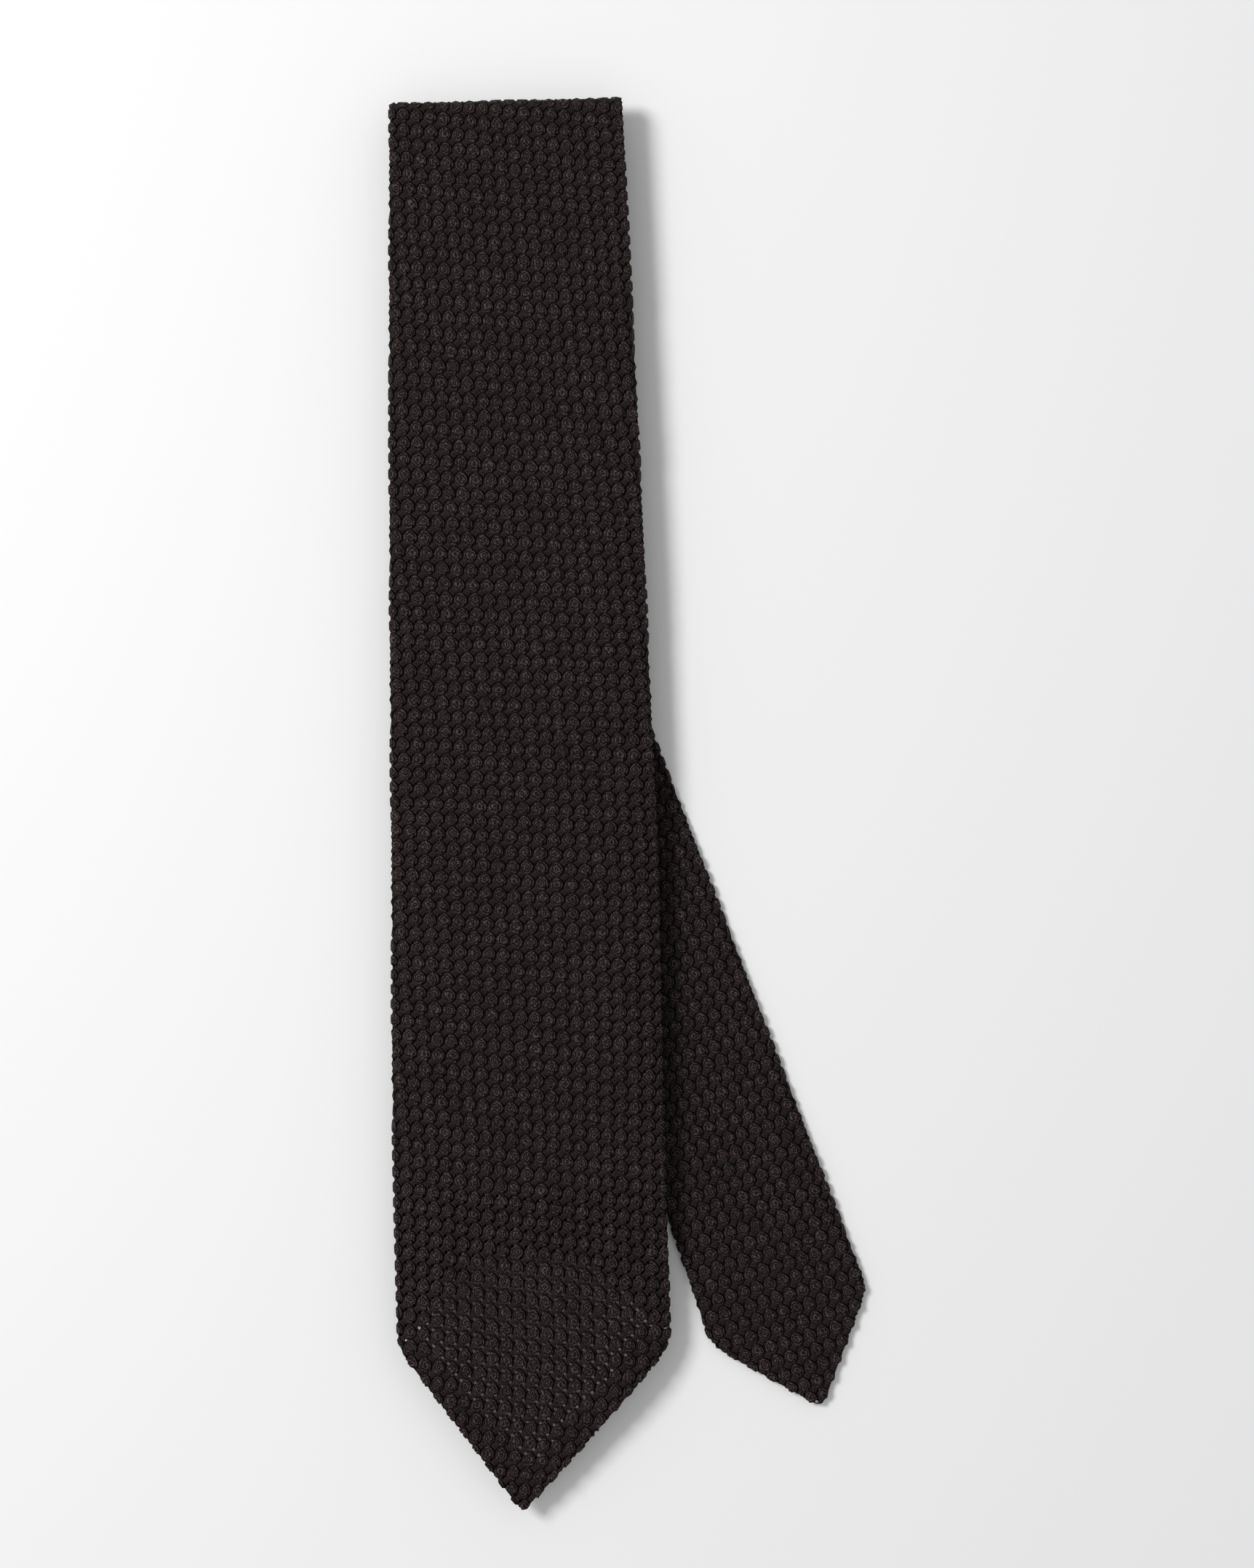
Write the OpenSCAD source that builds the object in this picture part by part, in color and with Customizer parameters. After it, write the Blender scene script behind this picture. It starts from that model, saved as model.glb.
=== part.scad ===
// Hand-rolled grenadine necktie, folded in four lengths for storage.
// The lengths lie on each other from the table up: tail, neck, blade back, blade.
// Each length is a flat tube of woven silk closed by a slip-stitched seam, with a wool interlining inside.

/* [Cloth] */
// Thickness of the woven silk
cloth_t = 0.45; // [0.3:0.05:0.7]
// Thickness of the wool interlining
wool_t = 1.2; // [0.8:0.1:2]
// Height left inside each length for turned-in seam edges
seam_room = 0.4; // [0.3:0.05:0.8]
// Air between two lengths that lie on each other
layer_gap = 0.3; // [0.2:0.05:0.6]
// Air between the blade and the length under it, where the keeper and label lie
keeper_room = 1.5; // [1.4:0.1:3]

/* [Blade] */
// Width across the shoulders of the point
blade_w = 80; // [65:1:100]
// Width at the top fold
blade_fold_w = 68; // [56:1:84]
// Length from the top fold to the point
blade_len = 412; // [340:1:500]
// Length of the point below the shoulders
blade_point_len = 49; // [38:1:62]
// How far above the shoulders the back flaps part
blade_open_len = 42; // [34:1:52]

/* [Hidden lengths] */
// How far the bottom fold lies below the top fold
hidden_len = 340; // [280:1:350]
// Width at the bottom fold
neck_fold_w = 44; // [40:1:50]
// Width at the second top fold
tail_fold_w = 37; // [34:1:42]
// How far the second top fold lies inside the first
fold_step = 3; // [1:0.5:8]

/* [Tail] */
// Width where the tail turns aside
tail_turn_w = 38.6; // [34:0.2:42]
// Width across the shoulders of the tail's point
tail_w = 49; // [44:0.5:60]
// Length from the turn to the tail's point
tail_len = 262; // [215:1:320]
// Length of the tail's point below its shoulders
tail_point_len = 29; // [24:1:36]
// How far above the tail's shoulders its back flaps part
tail_open_len = 26; // [20:1:32]
// Distance from the top fold down to the turn
turn_depth = 136; // [110:1:160]
// Angle between the tail and the blade
tail_angle = 18.4; // [8:0.2:24]
// Step from the tail's round head in to its straight sides
head_step = 0.3; // [0.2:0.05:0.5]
// Largest angle the tail swings to from straight
tail_reach = 34; // [26:1:40]

/* [Sewing] */
// Width of the rolled hem along both edges of a point
hem_w = 6; // [4:0.5:8]
// Thickness of the rolled hem
hem_t = 0.9; // [0.6:0.1:1.2]
// Width of the open seam between the back flaps
seam_w = 0.6; // [0.5:0.05:1]
// Radius of the sewing thread
thread_r = 0.16; // [0.1:0.02:0.2]
// Spacing of the slip stitches
slip_pitch = 10; // [6:1:16]
// Length of one slip stitch
slip_len = 5; // [3:0.5:5.5]
// Spacing of the hem stitches
hem_pitch = 5; // [3:0.5:8]
// Length of one hem stitch
hem_stitch_len = 2.4; // [1.5:0.1:3]
// Length of a bar tack across the seam
tack_len = 9; // [6:0.5:12]
// Width of a bar tack
tack_w = 2; // [1.5:0.1:3]
// Radius of the spare loop of slip thread
spare_loop_r = 3; // [2:0.5:4]
// Width of the two turned edges at a joining seam
joining_w = 12; // [8:1:16]
// Thickness of the turned edges at a joining seam
joining_t = 0.3; // [0.2:0.02:0.3]

/* [Keeper and labels] */
// Length of the self-fabric keeper across the blade
keeper_len = 46; // [36:1:52]
// Width of the keeper
keeper_w = 11; // [8:0.5:14]
// Thickness of the flattened keeper
keeper_t = 0.8; // [0.6:0.05:0.9]
// Distance from the point up to the keeper
keeper_height = 262; // [220:1:290]
// Length of the blank label
label_len = 50; // [40:1:56]
// Width of the blank label
label_w = 20; // [14:1:24]
// Thickness of the labels
label_t = 0.3; // [0.2:0.05:0.4]
// Width of the care label
care_w = 22; // [16:1:26]
// Length of the care label
care_len = 32; // [24:1:38]
// Bare cloth between the keeper and each label
label_space = 8; // [5:0.5:12]

/* [Hidden] */

$fn = 48;

// Overshoot of a cut past the face it opens
over = 1;
// Clearance between pieces that lie inside each other
ease = 0.05;
// Clearance round the wool inside its tube
wool_ease = 0.3;
// Half the air between the two hems of a point
hem_split = 0.1;
// Facets on a thread
thread_fn = 16;
// Steps along the curved side of the blade
side_steps = 16;

silk = "#2b2323";
silk_hem = "#241d1d";
wool = "#1d1a1a";
thread = "#1a1616";
label_cloth = "#39302f";

// Layer heights
layer_t = 2 * cloth_t + wool_t + seam_room;
cavity_t = wool_t + seam_room;
z_tail = 0;
z_neck = z_tail + layer_t + layer_gap;
z_back = z_neck + layer_t + layer_gap;
z_blade = z_back + layer_t + keeper_room;

// Fold radii, from the fold's axis to its inner and outer skin
inner_r = layer_gap / 2;
outer_r = inner_r + layer_t;
blade_inner_r = keeper_room / 2;
blade_outer_r = blade_inner_r + layer_t;

// Fold axes
top_y = blade_len / 2;
blade_fold_y = top_y - blade_outer_r;
blade_fold_z = z_back + layer_t + blade_inner_r;
neck_fold_y = top_y - hidden_len + outer_r;
neck_fold_z = z_neck + layer_t + inner_r;
tail_fold_y = top_y - fold_step - outer_r;
tail_fold_z = z_tail + layer_t + inner_r;

// Setback of each length from its fold's axis
setback = layer_gap / 2;

// Ends of the hidden lengths, and the bias seams that join their cloth
blade_y1 = blade_fold_y - setback;
back_y0 = neck_fold_y + setback;
back_y1 = blade_y1;
back_seam_y = (back_y0 + back_y1) / 2;
neck_y0 = back_y0;
neck_y1 = tail_fold_y - setback;
neck_seam_y = (neck_y0 + neck_y1) / 2;
tail_top_y1 = neck_y1;

// Points of the blade
shoulder_y = blade_point_len - top_y;
open_y = shoulder_y + blade_open_len;
side_len = top_y - shoulder_y;

// Turn of the tail
turn_y = top_y - turn_depth;
turn_r = tail_turn_w / 2;
horn_y = turn_y + turn_r * sin(tail_reach);
tail_shoulder = tail_len - tail_point_len;
tail_open = tail_shoulder - tail_open_len;

// Middle of the plan between the blade's left side and the tail's right shoulder
plan_right_x = max(blade_w / 2, tail_shoulder * sin(tail_angle) + tail_w / 2 * cos(tail_angle));
plan_mid_x = (plan_right_x - blade_w / 2) / 2;

// Places on the back of the blade
keeper_y = keeper_height - top_y;
label_y = keeper_y - keeper_w / 2 - label_space - label_w / 2;
care_y = keeper_y + keeper_w / 2 + label_space + care_len / 2;

// Half the blade's width at a distance below the top fold
function blade_half(s) =
    blade_fold_w / 2 + (blade_w - blade_fold_w) / 2 * sin(90 * min(1, s / side_len));

// Half width of the hidden lengths at a height along them
function back_half(y) =
    neck_fold_w / 2 + (blade_fold_w - neck_fold_w) / 2 * (y - neck_fold_y) / (blade_fold_y - neck_fold_y);
function neck_half(y) =
    neck_fold_w / 2 + (tail_fold_w - neck_fold_w) / 2 * (y - neck_fold_y) / (tail_fold_y - neck_fold_y);
function tail_top_half(y) =
    tail_turn_w / 2 + (tail_fold_w - tail_turn_w) / 2 * (y - turn_y) / (tail_fold_y - turn_y);

// One side of a plan and its mirror image, as one outline
function mirrored(side) =
    concat(side, [for (i = [len(side) - 1 : -1 : 0]) if (side[i][0] > 0) [-side[i][0], side[i][1]]]);

// Everything stands about the middle of the folded tie
module tie_frame() {
    translate([-plan_mid_x, 0, 0]) children();
}

module tail_frame() {
    tie_frame() translate([0, turn_y, 0]) rotate([0, 0, tail_angle]) children();
}

// A straight tapered plan between two heights
module taper(y0, y1, half0, half1) {
    polygon(mirrored([[half0, y0], [half1, y1]]));
}

// The open seam between two back flaps, as a cut from y0 to y1
module seam_cut(y0, y1, z) {
    translate([-seam_w / 2, y0, z - over / 2]) cube([seam_w, y1 - y0, cloth_t + over]);
}

// A flat tube of cloth with its seam above or below
module tube(y0, y1, half0, half1, z, seam_above) {
    seam_z = seam_above ? z + layer_t : z - cloth_t;
    seam_h = 2 * cloth_t;
    difference() {
        translate([0, 0, z]) linear_extrude(layer_t) taper(y0, y1, half0, half1);
        translate([0, 0, z + cloth_t]) linear_extrude(cavity_t)
            taper(y0 - over, y1 + over, half0 - cloth_t, half1 - cloth_t);
        translate([-seam_w / 2, y0 - over, seam_z - (seam_above ? cloth_t : 0)])
            cube([seam_w, y1 - y0 + 2 * over, seam_h]);
    }
}

// The wool inside a tube, lying on the flap side
module tube_wool(y0, y1, half0, half1, z, seam_above) {
    inset = cloth_t + wool_ease;
    translate([0, 0, seam_above ? z + cloth_t + seam_room : z + cloth_t])
        linear_extrude(wool_t) taper(y0, y1, half0 - inset, half1 - inset);
}

// A row of slip stitches inside an open seam
module slip_row(y0, y1, z) {
    count = floor((y1 - y0) / slip_pitch) - 1;
    for (i = [0 : count])
        translate([0, y0 + i * slip_pitch + (slip_pitch - slip_len) / 2 + slip_len, z + cloth_t / 2])
            rotate([90, 0, 0]) cylinder(h = slip_len, r = thread_r, $fn = thread_fn);
}

// Half a ring about a fold's axis, on the side of the fold, as wide as the cloth there
module fold_ring(width, r_out, r_in, side) {
    difference() {
        rotate([0, 90, 0]) cylinder(h = width, r = r_out, center = true);
        rotate([0, 90, 0]) cylinder(h = width + 2 * over, r = r_in, center = true);
        translate([-width / 2 - over, side > 0 ? -r_out - over : 0, -r_out - over])
            cube([width + 2 * over, r_out + over, 2 * (r_out + over)]);
    }
}

// The cloth of a fold: an outer and an inner skin joined at both edges
module fold_cloth(y, z, width, r_in, side) {
    r_out = r_in + layer_t;
    translate([0, y, z]) difference() {
        fold_ring(width, r_out, r_in, side);
        fold_ring(width - 2 * cloth_t, r_out - cloth_t, r_in + cloth_t, side);
    }
}

// The wool of a fold, a little clear of both skins
module fold_wool(y, z, width, r_in, side) {
    spare = seam_room / 2;
    translate([0, y, z])
        fold_ring(width - 2 * (cloth_t + wool_ease), r_in + layer_t - cloth_t - spare,
            r_in + cloth_t + spare, side);
}

// The hem along one edge of a point that ends at y = 0 and widens to its shoulder
module point_hem(half, point_len, side) {
    edge_len = norm([half, point_len]);
    slope = point_len / half;
    scale_in_x = hem_w * edge_len / point_len;
    scale_in_y = hem_w * edge_len / half;
    linear_extrude(hem_t) polygon([
        [side * hem_split, hem_split * slope],
        [side * half, point_len],
        [side * (half - scale_in_x), point_len],
        [side * hem_split, scale_in_y + hem_split * slope]
    ]);
}

// Stitches over the inner edge of both hems of a point
module point_stitches(half, point_len) {
    edge_len = norm([half, point_len]);
    angle = atan2(point_len, half);
    first = hem_w * 1.6;
    count = floor((edge_len - 2 * first) / hem_pitch);
    for (side = [-1, 1], i = [0 : count]) {
        t = (first + i * hem_pitch) / edge_len;
        mirror([side < 0 ? 1 : 0, 0, 0])
            translate([half * t, point_len * t, 0]) rotate([0, 0, angle])
                translate([0, hem_w - hem_stitch_len - hem_split, -thread_r]) rotate([-90, 0, 0])
                    cylinder(h = hem_stitch_len, r = thread_r, $fn = thread_fn);
    }
}

// A bar tack let into the back flaps, and the seat cut for it
module tack(y, z, spare) {
    translate([-tack_len / 2 - spare, y - spare, z - spare])
        cube([tack_len + 2 * spare, tack_w + 2 * spare, cloth_t + 2 * spare]);
}

// Stitches along both ends of a patch on the blade's back
module end_stitches(length, width, z, margin) {
    for (side = [-1, 1])
        translate([side * (length / 2 - margin), width / 2, z - thread_r]) rotate([90, 0, 0])
            cylinder(h = width, r = thread_r, $fn = thread_fn);
}

// The blade's plan from its fold to its point
module blade_plan(inset) {
    polygon(mirrored(concat(
        [for (i = [0 : side_steps])
            let (y = blade_y1 + (shoulder_y - blade_y1) * i / side_steps)
            [blade_half(top_y - y) - inset, y]],
        [[0, -top_y + inset]]
    )));
}

// The space below the front cloth that the parted flaps leave open
module blade_opening() {
    reach = blade_w / 2 + over;
    polygon([[0, open_y], [reach, shoulder_y], [reach, -top_y - over], [-reach, -top_y - over],
        [-reach, shoulder_y]]);
}

module blade_cloth() {
    color(silk) tie_frame() difference() {
        translate([0, 0, z_blade]) linear_extrude(layer_t) blade_plan(0);
        translate([0, 0, z_blade + cloth_t]) linear_extrude(cavity_t) intersection() {
            blade_plan(cloth_t);
            translate([-blade_w, shoulder_y]) square([2 * blade_w, side_len + over]);
        }
        translate([0, blade_y1, z_blade + cloth_t])
            linear_extrude(cavity_t) square([blade_fold_w - 2 * cloth_t, 2 * over], center = true);
        translate([0, 0, z_blade - over]) linear_extrude(over + layer_t - cloth_t) blade_opening();
        seam_cut(open_y - over, top_y, z_blade);
        tack(open_y + tack_w, z_blade, ease);
    }
}

module blade_wool() {
    inset = cloth_t + wool_ease;
    color(wool) tie_frame() translate([0, 0, z_blade + cloth_t]) linear_extrude(wool_t) intersection() {
        blade_plan(inset);
        translate([-blade_w / 2, open_y]) square([blade_w, blade_len]);
    }
}

module blade_hem(side) {
    color(silk_hem) tie_frame() translate([0, -top_y, z_blade + layer_t - cloth_t - hem_t])
        point_hem(blade_w / 2, blade_point_len, side);
}

module blade_hem_left() { blade_hem(-1); }

module blade_hem_right() { blade_hem(1); }

module blade_hem_stitches() {
    color(thread) tie_frame() translate([0, -top_y, z_blade + layer_t - cloth_t - hem_t])
        point_stitches(blade_w / 2, blade_point_len);
}

// The slip stitching with the spare loop of thread left hanging in the open point
module blade_slip_stitch() {
    color(thread) tie_frame() {
        slip_row(open_y + 2 * tack_w + over, blade_y1, z_blade);
        translate([0, open_y - 2 * spare_loop_r, z_blade + cloth_t]) rotate_extrude()
            translate([spare_loop_r, 0]) circle(r = thread_r, $fn = thread_fn);
    }
}

module blade_bar_tack() {
    color(thread) tie_frame() tack(open_y + tack_w, z_blade, 0);
}

module keeper() {
    color(silk) tie_frame() translate([-keeper_len / 2, keeper_y - keeper_w / 2, z_blade - keeper_t])
        cube([keeper_len, keeper_w, keeper_t]);
}

module keeper_stitches() {
    color(thread) tie_frame() translate([0, keeper_y, 0])
        end_stitches(keeper_len, keeper_w - 2 * over, z_blade - keeper_t, 2 * over);
}

module blank_label() {
    color(label_cloth) tie_frame() translate([-label_len / 2, label_y - label_w / 2, z_blade - label_t])
        cube([label_len, label_w, label_t]);
}

module label_stitches() {
    color(thread) tie_frame() translate([0, label_y, 0])
        end_stitches(label_len, label_w - 2 * over, z_blade - label_t, 1.5 * over);
}

module care_label() {
    color(label_cloth) tie_frame() translate([-care_w / 2, care_y - care_len / 2, z_blade - label_t])
        cube([care_w, care_len, label_t]);
}

// Half the plan on one side of a bias seam that crosses the middle at height y
module bias_side(y, above) {
    far = blade_len;
    translate([0, y]) rotate(-45) translate([-far, above ? 0 : -far]) square([2 * far, far]);
}

module back_tube() {
    tube(back_y0, back_y1, back_half(back_y0), back_half(back_y1), z_back, true);
}

module back_cloth_wide() {
    color(silk) tie_frame() intersection() {
        back_tube();
        translate([0, 0, z_back - over]) linear_extrude(layer_t + 2 * over) bias_side(back_seam_y, true);
    }
}

module back_cloth_narrow() {
    color(silk) tie_frame() difference() {
        back_tube();
        translate([0, 0, z_back - over]) linear_extrude(layer_t + 2 * over) bias_side(back_seam_y, true);
    }
}

// The turned edges of a joining seam, flat inside the front of its tube
module joining_edges(y, half, z) {
    reach = half - cloth_t - wool_ease;
    translate([0, 0, z]) linear_extrude(joining_t) intersection() {
        translate([0, y]) rotate(-45) square([4 * half, joining_w], center = true);
        translate([-reach, y - 2 * half]) square([2 * reach, 4 * half]);
    }
}

module back_joining_edges() {
    color(silk_hem) tie_frame()
        joining_edges(back_seam_y, back_half(back_seam_y - blade_fold_w / 2), z_back + cloth_t + ease);
}

module back_wool() {
    color(wool) tie_frame()
        tube_wool(back_y0, back_y1, back_half(back_y0), back_half(back_y1), z_back, true);
}

module back_slip_stitch() {
    color(thread) tie_frame() slip_row(back_y0, back_y1, z_back + layer_t - cloth_t);
}

module blade_fold_cloth() {
    color(silk) tie_frame() fold_cloth(blade_fold_y, blade_fold_z, blade_fold_w, blade_inner_r, 1);
}

module blade_fold_wool() {
    color(wool) tie_frame() fold_wool(blade_fold_y, blade_fold_z, blade_fold_w, blade_inner_r, 1);
}

module neck_tube() {
    tube(neck_y0, neck_y1, neck_half(neck_y0), neck_half(neck_y1), z_neck, false);
}

module neck_cloth() {
    color(silk) tie_frame() difference() {
        neck_tube();
        translate([0, 0, z_neck - over]) linear_extrude(layer_t + 2 * over) bias_side(neck_seam_y, true);
    }
}

module neck_cloth_tail() {
    color(silk) tie_frame() intersection() {
        neck_tube();
        translate([0, 0, z_neck - over]) linear_extrude(layer_t + 2 * over) bias_side(neck_seam_y, true);
    }
}

module neck_joining_edges() {
    color(silk_hem) tie_frame()
        joining_edges(neck_seam_y, neck_half(neck_y1), z_neck + cloth_t + wool_t + ease);
}

module neck_wool() {
    color(wool) tie_frame()
        tube_wool(neck_y0, neck_y1, neck_half(neck_y0), neck_half(neck_y1), z_neck, false);
}

module neck_slip_stitch() {
    color(thread) tie_frame() slip_row(neck_y0, neck_y1, z_neck);
}

module neck_fold_cloth() {
    color(silk) tie_frame() fold_cloth(neck_fold_y, neck_fold_z, neck_fold_w, inner_r, -1);
}

module neck_fold_wool() {
    color(wool) tie_frame() fold_wool(neck_fold_y, neck_fold_z, neck_fold_w, inner_r, -1);
}

// The round seat that the tail's head turns in
module turn_seat(spare) {
    translate([0, turn_y, z_tail - over])
        cylinder(h = layer_t + 2 * over, r = turn_r + spare);
}

module tail_top_cloth() {
    color(silk) tie_frame() difference() {
        tube(horn_y, tail_top_y1, tail_top_half(horn_y), tail_top_half(tail_top_y1), z_tail, true);
        turn_seat(layer_gap);
    }
}

module tail_top_wool() {
    color(wool) tie_frame() difference() {
        tube_wool(horn_y, tail_top_y1, tail_top_half(horn_y), tail_top_half(tail_top_y1), z_tail, true);
        turn_seat(layer_gap + wool_ease);
    }
}

module tail_top_slip_stitch() {
    color(thread) tie_frame()
        slip_row(turn_y + turn_r + layer_gap, tail_top_y1, z_tail + layer_t - cloth_t);
}

module tail_fold_cloth() {
    color(silk) tie_frame() fold_cloth(tail_fold_y, tail_fold_z, tail_fold_w, inner_r, 1);
}

module tail_fold_wool() {
    color(wool) tie_frame() fold_wool(tail_fold_y, tail_fold_z, tail_fold_w, inner_r, 1);
}

// The tail from its round head to its shoulders, point down, inset from its outline
module tail_sides(height, inset) {
    cylinder(h = height, r = turn_r - inset);
    linear_extrude(height) taper(-tail_shoulder, 0, tail_w / 2 - inset, turn_r - head_step - inset);
}

// The whole tail as one flat body
module tail_slab() {
    cylinder(h = layer_t, r = turn_r);
    linear_extrude(layer_t)
        polygon(mirrored([[turn_r - head_step, 0], [tail_w / 2, -tail_shoulder], [0, -tail_len]]));
}

module tail_opening() {
    reach = tail_w / 2 + over;
    polygon([[0, -tail_open], [reach, -tail_shoulder], [reach, -tail_len - over],
        [-reach, -tail_len - over], [-reach, -tail_shoulder]]);
}

module tail_cloth() {
    color(silk) tail_frame() difference() {
        translate([0, 0, z_tail]) tail_slab();
        translate([0, 0, z_tail + cloth_t]) tail_sides(cavity_t, cloth_t);
        translate([0, 0, z_tail - over]) linear_extrude(over + layer_t - cloth_t) tail_opening();
        seam_cut(-tail_open - over, turn_r / 2, z_tail);
        tack(-tail_open + tack_w, z_tail, ease);
    }
}

module tail_wool() {
    color(wool) tail_frame() translate([0, 0, z_tail + cloth_t]) intersection() {
        tail_sides(wool_t, cloth_t + wool_ease);
        translate([-tail_w / 2, -tail_open, 0]) cube([tail_w, tail_len, wool_t]);
    }
}

module tail_hem(side) {
    color(silk_hem) tail_frame() translate([0, -tail_len, z_tail + layer_t - cloth_t - hem_t])
        point_hem(tail_w / 2, tail_point_len, side);
}

module tail_hem_left() { tail_hem(-1); }

module tail_hem_right() { tail_hem(1); }

module tail_hem_stitches() {
    color(thread) tail_frame() translate([0, -tail_len, z_tail + layer_t - cloth_t - hem_t])
        point_stitches(tail_w / 2, tail_point_len);
}

module tail_slip_stitch() {
    color(thread) tail_frame() slip_row(-tail_open + 2 * tack_w + over, turn_r / 2, z_tail);
}

module tail_bar_tack() {
    color(thread) tail_frame() tack(-tail_open + tack_w, z_tail, 0);
}

blade_cloth();
blade_wool();
blade_hem_left();
blade_hem_right();
blade_hem_stitches();
blade_slip_stitch();
blade_bar_tack();
keeper();
keeper_stitches();
blank_label();
label_stitches();
care_label();
back_cloth_wide();
back_cloth_narrow();
back_joining_edges();
back_wool();
back_slip_stitch();
blade_fold_cloth();
blade_fold_wool();
neck_cloth();
neck_cloth_tail();
neck_joining_edges();
neck_wool();
neck_slip_stitch();
neck_fold_cloth();
neck_fold_wool();
tail_top_cloth();
tail_top_wool();
tail_top_slip_stitch();
tail_fold_cloth();
tail_fold_wool();
tail_cloth();
tail_wool();
tail_hem_left();
tail_hem_right();
tail_hem_stitches();
tail_slip_stitch();
tail_bar_tack();
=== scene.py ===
# %% [markdown]
# # A folded grenadine necktie
# The tie lies folded in four lengths on a pale table. Each length is a flat tube of open-weave silk with a
# wool interlining inside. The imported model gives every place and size, and this file makes the looks.

# %% Load the frame
import math
import bmesh
import bpy
import numpy as np
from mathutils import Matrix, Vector


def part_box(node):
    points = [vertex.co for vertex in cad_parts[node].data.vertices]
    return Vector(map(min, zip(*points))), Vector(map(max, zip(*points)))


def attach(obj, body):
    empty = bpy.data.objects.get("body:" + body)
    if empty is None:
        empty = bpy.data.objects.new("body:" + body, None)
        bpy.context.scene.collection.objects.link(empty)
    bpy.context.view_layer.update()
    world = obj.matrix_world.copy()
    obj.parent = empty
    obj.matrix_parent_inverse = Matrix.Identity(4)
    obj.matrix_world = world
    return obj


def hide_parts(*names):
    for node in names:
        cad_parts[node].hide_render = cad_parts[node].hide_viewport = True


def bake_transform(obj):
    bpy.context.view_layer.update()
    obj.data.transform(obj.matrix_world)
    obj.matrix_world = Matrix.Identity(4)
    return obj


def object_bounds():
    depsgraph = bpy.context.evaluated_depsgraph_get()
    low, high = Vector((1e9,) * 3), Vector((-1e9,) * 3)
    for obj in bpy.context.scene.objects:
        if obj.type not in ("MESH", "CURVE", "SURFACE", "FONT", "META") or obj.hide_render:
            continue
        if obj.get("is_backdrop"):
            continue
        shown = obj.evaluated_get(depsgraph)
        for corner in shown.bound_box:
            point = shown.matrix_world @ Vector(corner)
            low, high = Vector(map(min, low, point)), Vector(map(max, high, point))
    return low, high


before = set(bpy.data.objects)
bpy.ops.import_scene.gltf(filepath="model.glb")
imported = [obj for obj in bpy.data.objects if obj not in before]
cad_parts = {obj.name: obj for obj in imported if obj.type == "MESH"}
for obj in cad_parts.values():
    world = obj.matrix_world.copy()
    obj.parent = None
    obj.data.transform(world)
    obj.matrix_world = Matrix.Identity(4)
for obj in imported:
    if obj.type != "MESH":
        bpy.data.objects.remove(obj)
cad_low, cad_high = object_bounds()
MM = 0.001
print("CAD box", [round(v, 4) for v in cad_low], [round(v, 4) for v in cad_high])

# %% [markdown]
# ## Camera
# The tie is seen from straight above. The camera turns a little about its own axis, so that the blade leans
# as a tie does when someone lays it down by hand, and looks beside the tie's middle to frame it.

# %% Camera
blade_low, blade_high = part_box("blade_cloth")
fold_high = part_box("blade_fold_cloth")[1]
AXIS_X = (blade_low.x + blade_high.x) / 2
MIDDLE_Y = (blade_low.y + fold_high.y) / 2
BLADE_TOP = blade_high.z
LEAN = math.radians(1.41)
AIM_ACROSS = 30.5 * MM
AIM_ALONG = 5.1 * MM
LENS = 85.0
SENSOR = 36.0
VIEW_HEIGHT = 458.8 * MM

camera_data = bpy.data.cameras.new("camera")
camera_data.lens = LENS
camera_data.sensor_width = SENSOR
camera_data.clip_start = 0.01
camera = bpy.data.objects.new("camera", camera_data)
bpy.context.scene.collection.objects.link(camera)
bpy.context.scene.camera = camera
camera.location = (
    AXIS_X + AIM_ACROSS * math.cos(LEAN) + AIM_ALONG * math.sin(LEAN),
    MIDDLE_Y - AIM_ACROSS * math.sin(LEAN) + AIM_ALONG * math.cos(LEAN),
    BLADE_TOP + VIEW_HEIGHT * LENS / SENSOR,
)
camera.rotation_euler = (0, 0, -LEAN)
print("camera height", round(camera.location.z, 3))

# %% [markdown]
# ## Table and light
# A photographer's table is a plain pale sheet under one large soft lamp at the upper left, with white walls
# that fill the shadows. The lamp's size sets how soft the shadow's edge is.

# %% Table and light
def plain_material(name, colour, roughness):
    material = bpy.data.materials.new(name)
    material.use_nodes = True
    shader = material.node_tree.nodes["Principled BSDF"]
    shader.inputs["Base Color"].default_value = (*colour, 1)
    shader.inputs["Roughness"].default_value = roughness
    return material


TABLE_SIZE = 4.0
table_mesh = bpy.data.meshes.new("table")
half = TABLE_SIZE / 2
table_mesh.from_pydata(
    [(-half, -half, 0), (half, -half, 0), (half, half, 0), (-half, half, 0)], [], [(0, 1, 2, 3)]
)
table = bpy.data.objects.new("table", table_mesh)
bpy.context.scene.collection.objects.link(table)
table.data.materials.append(plain_material("pale table", (0.71, 0.71, 0.71), 0.9))
table.location.z = cad_low.z - 0.1 * MM
table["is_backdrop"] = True

LAMP_FROM = Vector((-0.80, 0.42, 1.0))
lamp_data = bpy.data.lights.new("soft lamp", "AREA")
lamp_data.size = 0.55
lamp_data.energy = 26.0
lamp = bpy.data.objects.new("soft lamp", lamp_data)
bpy.context.scene.collection.objects.link(lamp)
lamp.location = LAMP_FROM * 1.3
lamp.rotation_euler = (-LAMP_FROM).to_track_quat("-Z", "Y").to_euler()

world = bpy.data.worlds.new("white room")
bpy.context.scene.world = world
world.use_nodes = True
world.node_tree.nodes["Background"].inputs["Color"].default_value = (1, 1, 1, 1)
world.node_tree.nodes["Background"].inputs["Strength"].default_value = 0.62
bpy.context.scene.view_settings.view_transform = "Standard"
print("lamp at", [round(v, 2) for v in lamp.location])
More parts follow.
